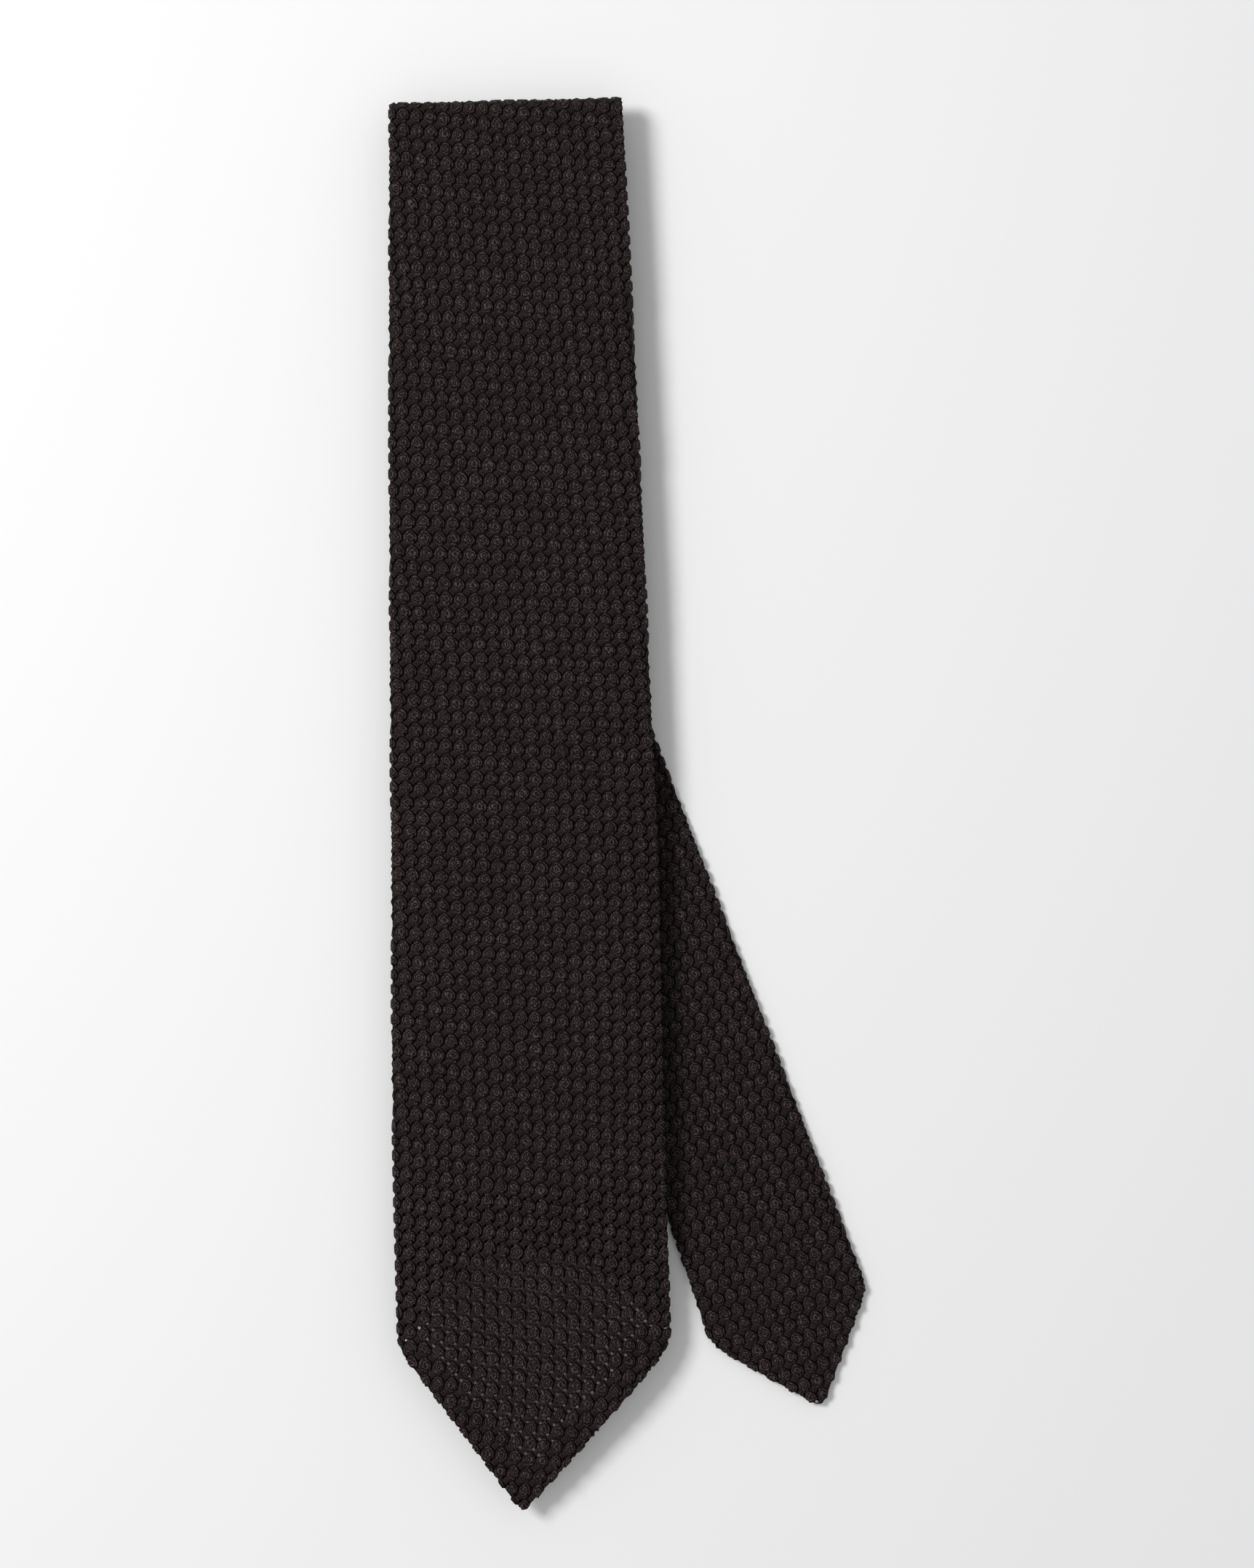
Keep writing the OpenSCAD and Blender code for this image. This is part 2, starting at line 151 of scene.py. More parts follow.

# %% [markdown]
# ## Silk, wool and thread
# Grenadine silk is matt from afar, because its twisted threads lie every way, and it shines a little where a
# thread turns up to the light. Most of that shine is painted into the base colour: a light tone on the
# threads' crests is painted sheen, and a dark tone in the troughs between them is painted shade. One node
# group draws the threads of a knot as wavering rings with a dark rim of painted shade, as a relief and as a
# mask. Each material places it with its own values and keeps its own shader.

# %% Helpers for node trees
def add_node(tree, kind, place=(0, 0), **values):
    node = tree.nodes.new(kind)
    node.location = place
    for name, value in values.items():
        setattr(node, name, value)
    return node


def math_node(tree, operation, first, second=None):
    node = add_node(tree, "ShaderNodeMath", operation=operation)
    for socket, value in zip(node.inputs, (first, second)):
        if isinstance(value, (int, float)):
            socket.default_value = value
        elif value is not None:
            tree.links.new(value, socket)
    return node.outputs[0]


def new_socket(tree, name, kind, value=None, output=False):
    socket = tree.interface.new_socket(
        name=name, in_out="OUTPUT" if output else "INPUT", socket_type=kind
    )
    if value is not None:
        socket.default_value = value
    return socket


# %% The fine threads of a knot and of a fan
def make_thread_group():
    """Threads as a height and a mask: they run in wavering rings over a knot, and side by side in a fan. The
    mask is light on the threads' crests, as painted sheen, and dark in their troughs and round the knot's
    rim, as painted shade.
    Cell is the place in a cell, 0 to 1 each way, with the knot in the middle and a fan over each corner."""
    group = bpy.data.node_groups.new("fine threads", "ShaderNodeTree")
    new_socket(group, "Cell", "NodeSocketVector")
    new_socket(group, "Place", "NodeSocketVector")
    new_socket(group, "Rings", "NodeSocketFloat", 4.6)
    new_socket(group, "Turns", "NodeSocketFloat", 4.0)
    new_socket(group, "Swing", "NodeSocketFloat", 0.5)
    new_socket(group, "Wander", "NodeSocketFloat", 1.9)
    new_socket(group, "Wander Scale", "NodeSocketFloat", 1050.0)
    new_socket(group, "Fan Tone", "NodeSocketFloat", 0.92)
    new_socket(group, "Rim Shade", "NodeSocketFloat", 1.0)
    new_socket(group, "Height", "NodeSocketFloat", output=True)
    new_socket(group, "Mask", "NodeSocketFloat", output=True)
    source = add_node(group, "NodeGroupInput").outputs
    result = add_node(group, "NodeGroupOutput").inputs
    split = add_node(group, "ShaderNodeSeparateXYZ")
    group.links.new(source["Cell"], split.inputs[0])
    u, v = split.outputs[0], split.outputs[1]

    def calc(operation, first, second=None):
        return math_node(group, operation, first, second)

    def fade(value, near, far):
        """1 where value is below near, falling to 0 at far."""
        node = add_node(group, "ShaderNodeMapRange", interpolation_type="SMOOTHSTEP")
        node.inputs["From Min"].default_value = near
        node.inputs["From Max"].default_value = far
        node.inputs["To Min"].default_value = 1.0
        node.inputs["To Max"].default_value = 0.0
        group.links.new(value, node.inputs["Value"])
        return node.outputs["Result"]

    noise = add_node(group, "ShaderNodeTexNoise")
    noise.inputs["Detail"].default_value = 1.0
    group.links.new(source["Place"], noise.inputs["Vector"])
    group.links.new(source["Wander Scale"], noise.inputs["Scale"])
    wander = calc("MULTIPLY", calc("SUBTRACT", noise.outputs["Fac"], 0.5), source["Wander"])
    swing = calc("MULTIPLY", calc("PINGPONG", calc("MULTIPLY", u, source["Turns"]), 0.5), source["Swing"])
    from_u = calc("ABSOLUTE", calc("SUBTRACT", u, 0.5))
    from_v = calc("ABSOLUTE", calc("SUBTRACT", v, 0.5))
    reach = calc("ADD", calc("POWER", from_u, 1.7), calc("POWER", from_v, 1.7))
    reach = calc("POWER", reach, 1 / 1.7)
    phase = calc("ADD", calc("ADD", calc("MULTIPLY", reach, source["Rings"]), swing), wander)
    knot_height = calc("MULTIPLY", calc("PINGPONG", calc("ADD", phase, 0.5), 0.5), 2.0)
    knot_mask = calc("ADD", calc("MULTIPLY", calc("POWER", knot_height, 2.6), 0.94), 0.06)

    corner_u = calc("SUBTRACT", calc("FRACT", calc("ADD", u, 0.5)), 0.5)
    corner_v = calc("SUBTRACT", calc("FRACT", calc("ADD", v, 0.5)), 0.5)
    off_line = calc("ADD", calc("MULTIPLY", corner_u, 2.83), calc("MULTIPLY", corner_v, 3.11))
    wavering = calc("ADD", off_line, calc("MULTIPLY", wander, 0.16))
    lines = calc("MULTIPLY", calc("PINGPONG", wavering, 0.2), 5.0)
    fan_tone = calc("ADD", calc("MULTIPLY", calc("POWER", lines, 1.5), 0.9), 0.1)
    # Fan Tone is set high as painted light: it makes up for the shade on the fan, which lies lower than the
    # knot.
    fan_mask = calc("MULTIPLY", fan_tone, source["Fan Tone"])

    def mixed(factor, first, second):
        mix = add_node(group, "ShaderNodeMix", data_type="FLOAT")
        for name, value in (("Factor", factor), ("A", first), ("B", second)):
            group.links.new(value, mix.inputs[name])
        return mix.outputs["Result"]

    # Painted shade: a dark band round the knot's edge, where the gap to the next knot lies in shade. It is
    # strongest at the knot's sides and weakest at the corner where a fan joins it.
    ragged = calc("ADD", reach, calc("MULTIPLY", wander, 0.03))
    inside = fade(ragged, 0.46, 0.52)
    off_rim = calc("ABSOLUTE", calc("SUBTRACT", ragged, 0.49))
    rim = fade(off_rim, 0.03, 0.115)
    sideways = calc("MINIMUM", calc("ADD", calc("MULTIPLY", from_u, 2.0), 0.42), 1.0)
    joined = fade(calc("ADD", u, v), 0.34, 0.72)
    open_side = calc("SUBTRACT", 1.0, calc("MULTIPLY", joined, 0.7))
    rim_weight = calc("MULTIPLY", open_side, source["Rim Shade"])
    painted_rim_shade = calc("MULTIPLY", calc("MULTIPLY", rim, sideways), rim_weight)
    mask = calc("MULTIPLY", mixed(inside, fan_mask, knot_mask), calc("SUBTRACT", 1.0, painted_rim_shade))
    group.links.new(mixed(inside, lines, knot_height), result["Height"])
    group.links.new(mask, result["Mask"])
    return group


threads = make_thread_group()
print("thread pattern nodes:", len(threads.nodes))


# %% Silk
def make_silk(name, dark, light, rings, turns, depth):
    """Silk that shows fine threads, with a slightly different tone from cell to cell. Its base colour runs
    from dark, as painted shade in the troughs and gaps of the weave, to light, as painted sheen on the thread
    crests.
    """
    material = bpy.data.materials.new(name)
    material.use_nodes = True
    tree = material.node_tree
    shader = tree.nodes["Principled BSDF"]
    shader.inputs["Roughness"].default_value = 0.48
    # The specular is kept low, so the shine on the threads comes from the painted sheen of the light tone.
    shader.inputs["Specular IOR Level"].default_value = 0.06
    shader.inputs["Specular Tint"].default_value = (1.0, 0.84, 0.84, 1)
    cell = add_node(tree, "ShaderNodeUVMap", (-1100, 0), uv_map="cell")
    place = add_node(tree, "ShaderNodeTexCoord", (-1100, -200))
    pattern = add_node(tree, "ShaderNodeGroup", (-850, 0), node_tree=threads)
    pattern.inputs["Rings"].default_value = rings
    pattern.inputs["Turns"].default_value = turns
    tree.links.new(cell.outputs["UV"], pattern.inputs["Cell"])
    tree.links.new(place.outputs["Object"], pattern.inputs["Place"])
    tone = add_node(tree, "ShaderNodeAttribute", (-850, 260), attribute_name="tone")
    shade = math_node(tree, "MULTIPLY", pattern.outputs["Mask"], tone.outputs["Fac"])
    mix = add_node(tree, "ShaderNodeMix", (-400, 160), data_type="RGBA")
    mix.inputs["A"].default_value = (*dark, 1)
    mix.inputs["B"].default_value = (*light, 1)
    tree.links.new(shade, mix.inputs["Factor"])
    tree.links.new(mix.outputs["Result"], shader.inputs["Base Color"])
    bump = add_node(tree, "ShaderNodeBump", (-400, -200))
    bump.inputs["Distance"].default_value = depth
    tree.links.new(pattern.outputs["Height"], bump.inputs["Height"])
    tree.links.new(bump.outputs["Normal"], shader.inputs["Normal"])
    return material


# dark is painted shade in the troughs and gaps of the weave, and light is painted sheen on the thread crests.
silk = make_silk("grenadine silk", (0.0012, 0.0006, 0.0007), (0.072, 0.0525, 0.0527), 4.6, 4.0, 0.20 * MM)
silk_hem = make_silk("rolled silk hem", (0.0016, 0.0008, 0.0009), (0.066, 0.0480, 0.0482), 4.6, 4.0,
                     0.12 * MM)


# %% Wool, thread and label
def make_fibre(name, colour, other, scale, depth, roughness=0.85, stretch=(1, 1, 1)):
    """A fibrous surface: two tones and a relief from one noise on the object's own coordinates."""
    material = plain_material(name, colour, roughness)
    tree = material.node_tree
    shader = tree.nodes["Principled BSDF"]
    shader.inputs["Specular IOR Level"].default_value = 0.2
    place = add_node(tree, "ShaderNodeTexCoord", (-1200, 0))
    mapping = add_node(tree, "ShaderNodeMapping", (-1000, 0))
    mapping.inputs["Scale"].default_value = stretch
    noise = add_node(tree, "ShaderNodeTexNoise", (-800, 0))
    noise.inputs["Scale"].default_value = scale
    noise.inputs["Detail"].default_value = 3.0
    mix = add_node(tree, "ShaderNodeMix", (-400, 160), data_type="RGBA")
    mix.inputs["A"].default_value = (*colour, 1)
    mix.inputs["B"].default_value = (*other, 1)
    bump = add_node(tree, "ShaderNodeBump", (-400, -200))
    bump.inputs["Distance"].default_value = depth
    tree.links.new(place.outputs["Object"], mapping.inputs["Vector"])
    tree.links.new(mapping.outputs["Vector"], noise.inputs["Vector"])
    tree.links.new(noise.outputs["Fac"], mix.inputs["Factor"])
    tree.links.new(mix.outputs["Result"], shader.inputs["Base Color"])
    tree.links.new(noise.outputs["Fac"], bump.inputs["Height"])
    tree.links.new(bump.outputs["Normal"], shader.inputs["Normal"])
    return material


wool = make_fibre("wool interlining", (0.004, 0.003, 0.003), (0.010, 0.008, 0.008), 900, 0.1 * MM)
thread = make_fibre("silk thread", (0.008, 0.006, 0.006), (0.022, 0.018, 0.018), 2500, 0.03 * MM, 0.5)
turned_silk = make_fibre("turned silk edge", (0.006, 0.004, 0.004), (0.016, 0.012, 0.012), 700,
                         0.05 * MM, 0.6, (1, 3, 1))
label_cloth = make_fibre("blank label", (0.030, 0.023, 0.022), (0.050, 0.041, 0.040), 1500,
                         0.03 * MM, 0.6, (1, 6, 1))
print("materials:", [m.name for m in bpy.data.materials])

# %% [markdown]
# ## One cell of the weave
# Grenadine is a gauze weave: warp threads cross over each other and lock the weft. That leaves raised knots
# in rows, a fan of smooth threads that runs aslant from each knot to the next row, and two small holes to a
# knot. A cell is one knot with its share of the ground, as a closed form, so the cloth shows both its sides
# and lets light through its holes. Its relief repeats from cell to cell, so neighbours meet without a step.

# %% Relief of a cell
PITCH_ACROSS = 4.0 * MM
PITCH_ALONG = 4.4 * MM
GROUND = -0.16
KNOT_HALF = (1.96, 1.94)
KNOT_RISE = 0.60
KNOT_SHOULDER = 0.36
ROUNDNESS = 2.2
FAN_HALF = (0.75, 1.5)
FAN_RISE = 0.40
UNDERSIDE = -0.34
OVERLAP = 0.1
HOLE = 0.38
HOLES = ((-1.2, 1.46), (1.1, -1.46))


def smooth(value):
    value = min(max(value, 0.0), 1.0)
    return value * value * (3 - 2 * value)


def relief(x, y):
    """Height of the cell's upper side at a place in millimetres from the knot's middle."""
    reach = (abs(x) / KNOT_HALF[0]) ** ROUNDNESS + (abs(y) / KNOT_HALF[1]) ** ROUNDNESS
    reach = reach ** (1 / ROUNDNESS)
    knot = KNOT_RISE * smooth((1 - reach) / KNOT_SHOULDER)
    corner_x = x - math.copysign(PITCH_ACROSS / MM / 2, x)
    corner_y = y - math.copysign(PITCH_ALONG / MM / 2, y)
    off_line = abs(corner_x + corner_y) / math.sqrt(2)
    along_line = abs(corner_x - corner_y) / math.sqrt(2)
    fan = FAN_RISE * smooth(1 - off_line / FAN_HALF[0]) * smooth(1 - along_line / FAN_HALF[1])
    return GROUND + max(knot, fan)


# %% Build the cells
def make_cell(name, lines_x, lines_y, holes, flat_base):
    """A closed cell over a grid of lines. A hole takes the grid square that its middle lies in."""
    wide, tall = len(lines_x), len(lines_y)
    top = [(x, y, relief(x, y)) for y in lines_y for x in lines_x]
    base = [(x, y, UNDERSIDE) for y in lines_y for x in lines_x]
    squares = []
    for row in range(tall - 1):
        for column in range(wide - 1):
            middle_x = (lines_x[column] + lines_x[column + 1]) / 2
            middle_y = (lines_y[row] + lines_y[row + 1]) / 2
            if all(math.hypot(middle_x - x, middle_y - y) > HOLE for x, y in holes):
                a = row * wide + column
                squares.append((a, a + 1, a + wide + 1, a + wide))
    edges = {}
    for square in squares:
        for a, b in zip(square, square[1:] + square[:1]):
            edges[(a, b)] = True
    rim = [(a, b) for a, b in edges if (b, a) not in edges]
    offset = len(top)
    faces = list(squares)
    faces += [(b, a, a + offset, b + offset) for a, b in rim]
    if flat_base:
        follow = dict(rim)
        loop = [rim[0][0]]
        while follow[loop[-1]] != loop[0]:
            loop.append(follow[loop[-1]])
        faces.append(tuple(k + offset for k in reversed(loop)))
    else:
        faces += [tuple(k + offset for k in reversed(square)) for square in squares]
    points = [tuple(value * MM for value in p) for p in top + base]
    mesh = bpy.data.meshes.new(name)
    mesh.from_pydata(points, [], faces)
    sharp = [len(face) == 4 and index >= len(squares) for index, face in enumerate(faces)]
    mesh.polygons.foreach_set("use_smooth", [not flat for flat in sharp])
    used = bmesh.new()
    used.from_mesh(mesh)
    loose = [v for v in used.verts if not v.link_faces]
    bmesh.ops.delete(used, geom=loose, context="VERTS")
    used.to_mesh(mesh)
    used.free()
    cell = bpy.data.objects.new(name, mesh)
    bpy.context.scene.collection.objects.link(cell)
    print(name, "has", sum(len(f) - 2 for f in faces), "triangles")
    return cell


def lines_around(size, places):
    """Grid lines over a cell, with a pair of lines on either side of each hole's middle."""
    end = size / MM / 2 + OVERLAP
    inner = [place + side * HOLE for place in places for side in (-1, 1)]
    return sorted([-end, end] + inner)


fine_x = sorted(lines_around(PITCH_ACROSS, [x for x, y in HOLES]) + [-0.35, 0.35])
fine_y = sorted(lines_around(PITCH_ALONG, [y for x, y in HOLES]) + [-0.45, 0.45])
fine_cell = make_cell("fine cell", fine_x, fine_y, HOLES, False)
plain_x = [-PITCH_ACROSS / MM / 2 - OVERLAP, -1.35, 0.0, 1.35, PITCH_ACROSS / MM / 2 + OVERLAP]
plain_y = [-PITCH_ALONG / MM / 2 - OVERLAP, -1.35, 0.0, 1.35, PITCH_ALONG / MM / 2 + OVERLAP]
plain_cell = make_cell("plain cell", plain_x, plain_y, (), True)

# %% [markdown]
# ## The loom
# The cloth repeats one cell hundreds of times, which is work for Geometry Nodes. The tree lays a grid, shifts
# and turns each cell a little, as hand-fed silk does, and keeps each cell's place and tone as attributes. The
# result is flat cloth, as it comes off the loom.

# %% Loom tree
def make_loom():
    tree = bpy.data.node_groups.new("loom", "GeometryNodeTree")
    tree.is_modifier = True
    new_socket(tree, "Geometry", "NodeSocketGeometry", output=True)
    new_socket(tree, "Geometry", "NodeSocketGeometry")
    new_socket(tree, "Cell", "NodeSocketObject")
    new_socket(tree, "Columns", "NodeSocketInt", 2)
    new_socket(tree, "Rows", "NodeSocketInt", 2)
    new_socket(tree, "Width", "NodeSocketFloat", 0.1)
    new_socket(tree, "Length", "NodeSocketFloat", 0.1)
    new_socket(tree, "Shift", "NodeSocketFloat", 0.05 * MM)
    new_socket(tree, "Turn", "NodeSocketFloat", 0.025)
    new_socket(tree, "Seed", "NodeSocketInt", 1)
    new_socket(tree, "Cloth", "NodeSocketMaterial")
    source = add_node(tree, "NodeGroupInput")
    result = add_node(tree, "NodeGroupOutput")
    link = tree.links.new

    grid = add_node(tree, "GeometryNodeMeshGrid")
    for socket, name in zip(grid.inputs, ("Width", "Length", "Columns", "Rows")):
        link(source.outputs[name], socket)
    keep_place = add_node(tree, "GeometryNodeStoreNamedAttribute", data_type="FLOAT_VECTOR", domain="POINT")
    keep_place.inputs["Name"].default_value = "cell_at"
    position = add_node(tree, "GeometryNodeInputPosition")
    link(grid.outputs["Mesh"], keep_place.inputs["Geometry"])
    link(position.outputs[0], keep_place.inputs["Value"])
    keep_tone = add_node(tree, "GeometryNodeStoreNamedAttribute", data_type="FLOAT", domain="POINT")
    keep_tone.inputs["Name"].default_value = "tone"
    tone = add_node(tree, "FunctionNodeRandomValue", data_type="FLOAT")
    tone.inputs[2].default_value = 0.80
    tone.inputs[3].default_value = 1.0
    link(source.outputs["Seed"], tone.inputs["Seed"])
    link(keep_place.outputs["Geometry"], keep_tone.inputs["Geometry"])
    link(tone.outputs[1], keep_tone.inputs["Value"])

    shift = add_node(tree, "FunctionNodeRandomValue", data_type="FLOAT_VECTOR")
    shift.inputs[0].default_value = (-1, -1, -0.4)
    shift.inputs[1].default_value = (1, 1, 0.4)
    link(source.outputs["Seed"], shift.inputs["Seed"])
    scaled = add_node(tree, "ShaderNodeVectorMath", operation="SCALE")
    link(shift.outputs[0], scaled.inputs[0])
    link(source.outputs["Shift"], scaled.inputs["Scale"])
    moved = add_node(tree, "GeometryNodeSetPosition")
    link(keep_tone.outputs["Geometry"], moved.inputs["Geometry"])
    link(scaled.outputs[0], moved.inputs["Offset"])

    turn = add_node(tree, "FunctionNodeRandomValue", data_type="FLOAT")
    turn.inputs[2].default_value = -1
    link(source.outputs["Seed"], turn.inputs["Seed"])
    turned = add_node(tree, "ShaderNodeMath", operation="MULTIPLY")
    link(turn.outputs[1], turned.inputs[0])
    link(source.outputs["Turn"], turned.inputs[1])
    rotation = add_node(tree, "ShaderNodeCombineXYZ")
    link(turned.outputs[0], rotation.inputs["Z"])
    size = add_node(tree, "FunctionNodeRandomValue", data_type="FLOAT")
    size.inputs[2].default_value = 0.98
    size.inputs[3].default_value = 1.02
    link(source.outputs["Seed"], size.inputs["Seed"])

    cell = add_node(tree, "GeometryNodeObjectInfo")
    link(source.outputs["Cell"], cell.inputs["Object"])
    instance = add_node(tree, "GeometryNodeInstanceOnPoints")
    link(moved.outputs["Geometry"], instance.inputs["Points"])
    link(cell.outputs["Geometry"], instance.inputs["Instance"])
    link(rotation.outputs[0], instance.inputs["Rotation"])
    link(size.outputs[1], instance.inputs["Scale"])
    real = add_node(tree, "GeometryNodeRealizeInstances")
    finish = add_node(tree, "GeometryNodeSetMaterial")
    link(instance.outputs["Instances"], real.inputs["Geometry"])
    link(real.outputs["Geometry"], finish.inputs["Geometry"])
    link(source.outputs["Cloth"], finish.inputs["Material"])
    link(finish.outputs["Geometry"], result.inputs["Geometry"])
    return tree


loom = make_loom()
print("loom nodes:", len(loom.nodes))


# %% Weave flat cloth
def set_inputs(modifier, **values):
    """Sets a Geometry Nodes modifier's inputs by their sockets' identifiers."""
    wanted = {name.replace("_", " "): value for name, value in values.items()}
    for item in modifier.node_group.interface.items_tree:
        if item.item_type == "SOCKET" and item.in_out == "INPUT" and item.name in wanted:
            modifier[item.identifier] = wanted.pop(item.name)
    assert not wanted, wanted


def evaluated_mesh(tree, **values):
    """The plain mesh that a Geometry Nodes tree makes, with its attributes."""
    holder = bpy.data.objects.new("holder", bpy.data.meshes.new("holder"))
    bpy.context.scene.collection.objects.link(holder)
    modifier = holder.modifiers.new("make", "NODES")
    modifier.node_group = tree
    set_inputs(modifier, **values)
    graph = bpy.context.evaluated_depsgraph_get()
    mesh = bpy.data.meshes.new_from_object(holder.evaluated_get(graph), depsgraph=graph)
    bpy.data.objects.remove(holder)
    return mesh


def weave(cell, low, high, seed, cloth=silk):
    """Flat cloth over a rectangle, as arrays: points, each point's cell centre, faces and attributes."""
    columns = int(math.ceil((high[0] - low[0]) / PITCH_ACROSS)) + 1
    rows = int(math.ceil((high[1] - low[1]) / PITCH_ALONG)) + 1
    width, length = (columns - 1) * PITCH_ACROSS, (rows - 1) * PITCH_ALONG
    mesh = evaluated_mesh(loom, Cell=cell, Columns=columns, Rows=rows, Width=width, Length=length,
                          Seed=seed, Cloth=cloth)
    count = len(mesh.vertices)
    points = np.empty(count * 3)
    mesh.vertices.foreach_get("co", points)
    centres = np.empty(count * 3)
    mesh.attributes["cell_at"].data.foreach_get("vector", centres)
    flat = {"points": points.reshape(-1, 3), "centres": centres.reshape(-1, 3)}
    tone = np.empty(count)
    mesh.attributes["tone"].data.foreach_get("value", tone)
    flat["tone"] = tone
    starts = np.empty(len(mesh.polygons), np.int32)
    totals = np.empty(len(mesh.polygons), np.int32)
    corners = np.empty(len(mesh.loops), np.int32)
    mesh.polygons.foreach_get("loop_start", starts)
    mesh.polygons.foreach_get("loop_total", totals)
    mesh.loops.foreach_get("vertex_index", corners)
    smooth_faces = np.empty(len(mesh.polygons), bool)
    mesh.polygons.foreach_get("use_smooth", smooth_faces)
    flat.update(starts=starts, totals=totals, corners=corners, smooth=smooth_faces)
    middle = np.array([(low[0] + high[0]) / 2, high[1] - length / 2, 0])
    flat["points"] += middle
    flat["centres"] += middle
    bpy.data.meshes.remove(mesh)
    return flat


def keep_cells(flat, keep):
    """The part of a flat cloth whose points keep marks, whole cells at a time."""
    new_index = np.cumsum(keep) - 1
    face_kept = keep[flat["corners"][flat["starts"]]]
    corner_kept = np.repeat(face_kept, flat["totals"])
    totals = flat["totals"][face_kept]
    part = {name: flat[name][keep] for name in ("points", "centres", "tone")}
    part["corners"] = new_index[flat["corners"][corner_kept]].astype(np.int32)
    part["totals"] = totals
    part["smooth"] = flat["smooth"][face_kept]
    part["starts"] = np.concatenate([[0], np.cumsum(totals)[:-1]]).astype(np.int32)
    return part


def cloth_object(name, flat, laid, cloth=silk):
    """A mesh object from flat cloth and the places its points were laid to."""
    mesh = bpy.data.meshes.new(name)
    mesh.vertices.add(len(laid))
    mesh.vertices.foreach_set("co", laid.astype(np.float32).ravel())
    mesh.loops.add(len(flat["corners"]))
    mesh.loops.foreach_set("vertex_index", flat["corners"])
    mesh.polygons.add(len(flat["starts"]))
    mesh.polygons.foreach_set("loop_start", flat["starts"])
    mesh.polygons.foreach_set("loop_total", flat["totals"])
    mesh.polygons.foreach_set("use_smooth", flat["smooth"])
    mesh.update(calc_edges=True)
    local = (flat["points"] - flat["centres"])[:, :2]
    local = local / np.array([PITCH_ACROSS, PITCH_ALONG]) + 0.5
    uv = mesh.uv_layers.new(name="cell")
    uv.data.foreach_set("uv", local[flat["corners"]].astype(np.float32).ravel())
    tone = mesh.attributes.new("tone", "FLOAT", "POINT")
    tone.data.foreach_set("value", flat["tone"].astype(np.float32))
    mesh.materials.append(cloth)
    piece = bpy.data.objects.new(name, mesh)
    bpy.context.scene.collection.objects.link(piece)
    return piece

# %% [markdown]
# ## The form of a length
# Each length of the tie is a flat tube: one strip of cloth whose two sides are turned under and meet in a
# seam along the middle of the back. Sizes from here on are in millimetres, and "across" is measured from
# the blade's middle line. The tubes' heights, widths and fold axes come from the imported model.

# %% Folds and lengths, in millimetres
def box_mm(node):
    low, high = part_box(node)
    return np.array(low) / MM, np.array(high) / MM


THICK = 2.5
ROUND = 0.85
HEM_ROUND = 0.5
AXIS = AXIS_X / MM


def fold_of(node, side):
    """A fold's axis, radii and half width. side is 1 for a fold at the top and -1 at the bottom."""
    low, high = box_mm(node)
    outer = (high[2] - low[2]) / 2
    return {
        "y": low[1] if side > 0 else high[1], "z": (low[2] + high[2]) / 2, "side": side,
        "half": (high[0] - low[0]) / 2, "outer": outer, "mid": outer - THICK / 2,
    }


blade_fold = fold_of("blade_fold_cloth", 1)
neck_fold = fold_of("neck_fold_cloth", -1)
tail_fold = fold_of("tail_fold_cloth", 1)
BLADE_TIP = box_mm("blade_cloth")[0][1]
BLADE_HALF = (box_mm("blade_cloth")[1][0] - box_mm("blade_cloth")[0][0]) / 2
POINT_LENGTH = 49.0
SIDE_LENGTH = -2 * BLADE_TIP - POINT_LENGTH
TURN_Y = 70.0
TAIL_ANGLE = math.radians(18.4)
TAIL_HALF = 24.5
TAIL_LENGTH = 262.0
TAIL_POINT = 29.0
TURN_HALF = 19.3


def blade_half(y):
    down = np.clip((-BLADE_TIP - y) / SIDE_LENGTH, 0, 1)
    return blade_fold["half"] + (BLADE_HALF - blade_fold["half"]) * np.sin(down * math.pi / 2)


def between(y0, half0, y1, half1):
    return lambda y: half0 + (half1 - half0) * (y - y0) / (y1 - y0)


def edge_out(half, length):
    """The way out across the slanted edge of a point, as (across, down)."""
    size = math.hypot(half, length)
    return length / size, half / size


blade = {"z": blade_fold["z"] + blade_fold["mid"], "face": 1, "half": blade_half, "tip": BLADE_TIP,
         "edge": edge_out(BLADE_HALF, POINT_LENGTH), "fold": blade_fold}
back = {"z": blade_fold["z"] - blade_fold["mid"], "face": -1, "fold": neck_fold,
        "half": between(neck_fold["y"], neck_fold["half"], blade_fold["y"], blade_fold["half"])}
neck = {"z": neck_fold["z"] - neck_fold["mid"], "face": 1, "fold": tail_fold,
        "half": between(neck_fold["y"], neck_fold["half"], tail_fold["y"], tail_fold["half"])}
tail_top = {"z": tail_fold["z"] - tail_fold["mid"], "face": -1,
            "half": between(TURN_Y, TURN_HALF, tail_fold["y"], tail_fold["half"])}
tail = {"z": tail_top["z"], "face": 1, "tip": -TAIL_LENGTH,
        "half": between(0, TURN_HALF, TAIL_POINT - TAIL_LENGTH, TAIL_HALF),
        "edge": edge_out(TAIL_HALF, TAIL_POINT)}
print("fold radii:", [round(f["outer"], 2) for f in (blade_fold, neck_fold, tail_fold)])


# %% Turn the cloth round the edges
SOFT_TIP = 1.0
SOFT_SHOULDER = 3.0
POINT_EASE = 1.5
SEAM_SOFT = 0.15
SEAM_NEAR = 2.5


def smooth_max(first, second, soft):
    """The larger of two distances with the corner between them rounded, and the second's share."""
    share = np.clip(0.5 + 0.5 * (second - first) / soft, 0, 1)
    return first + (second - first) * share + soft * share * (1 - share), share


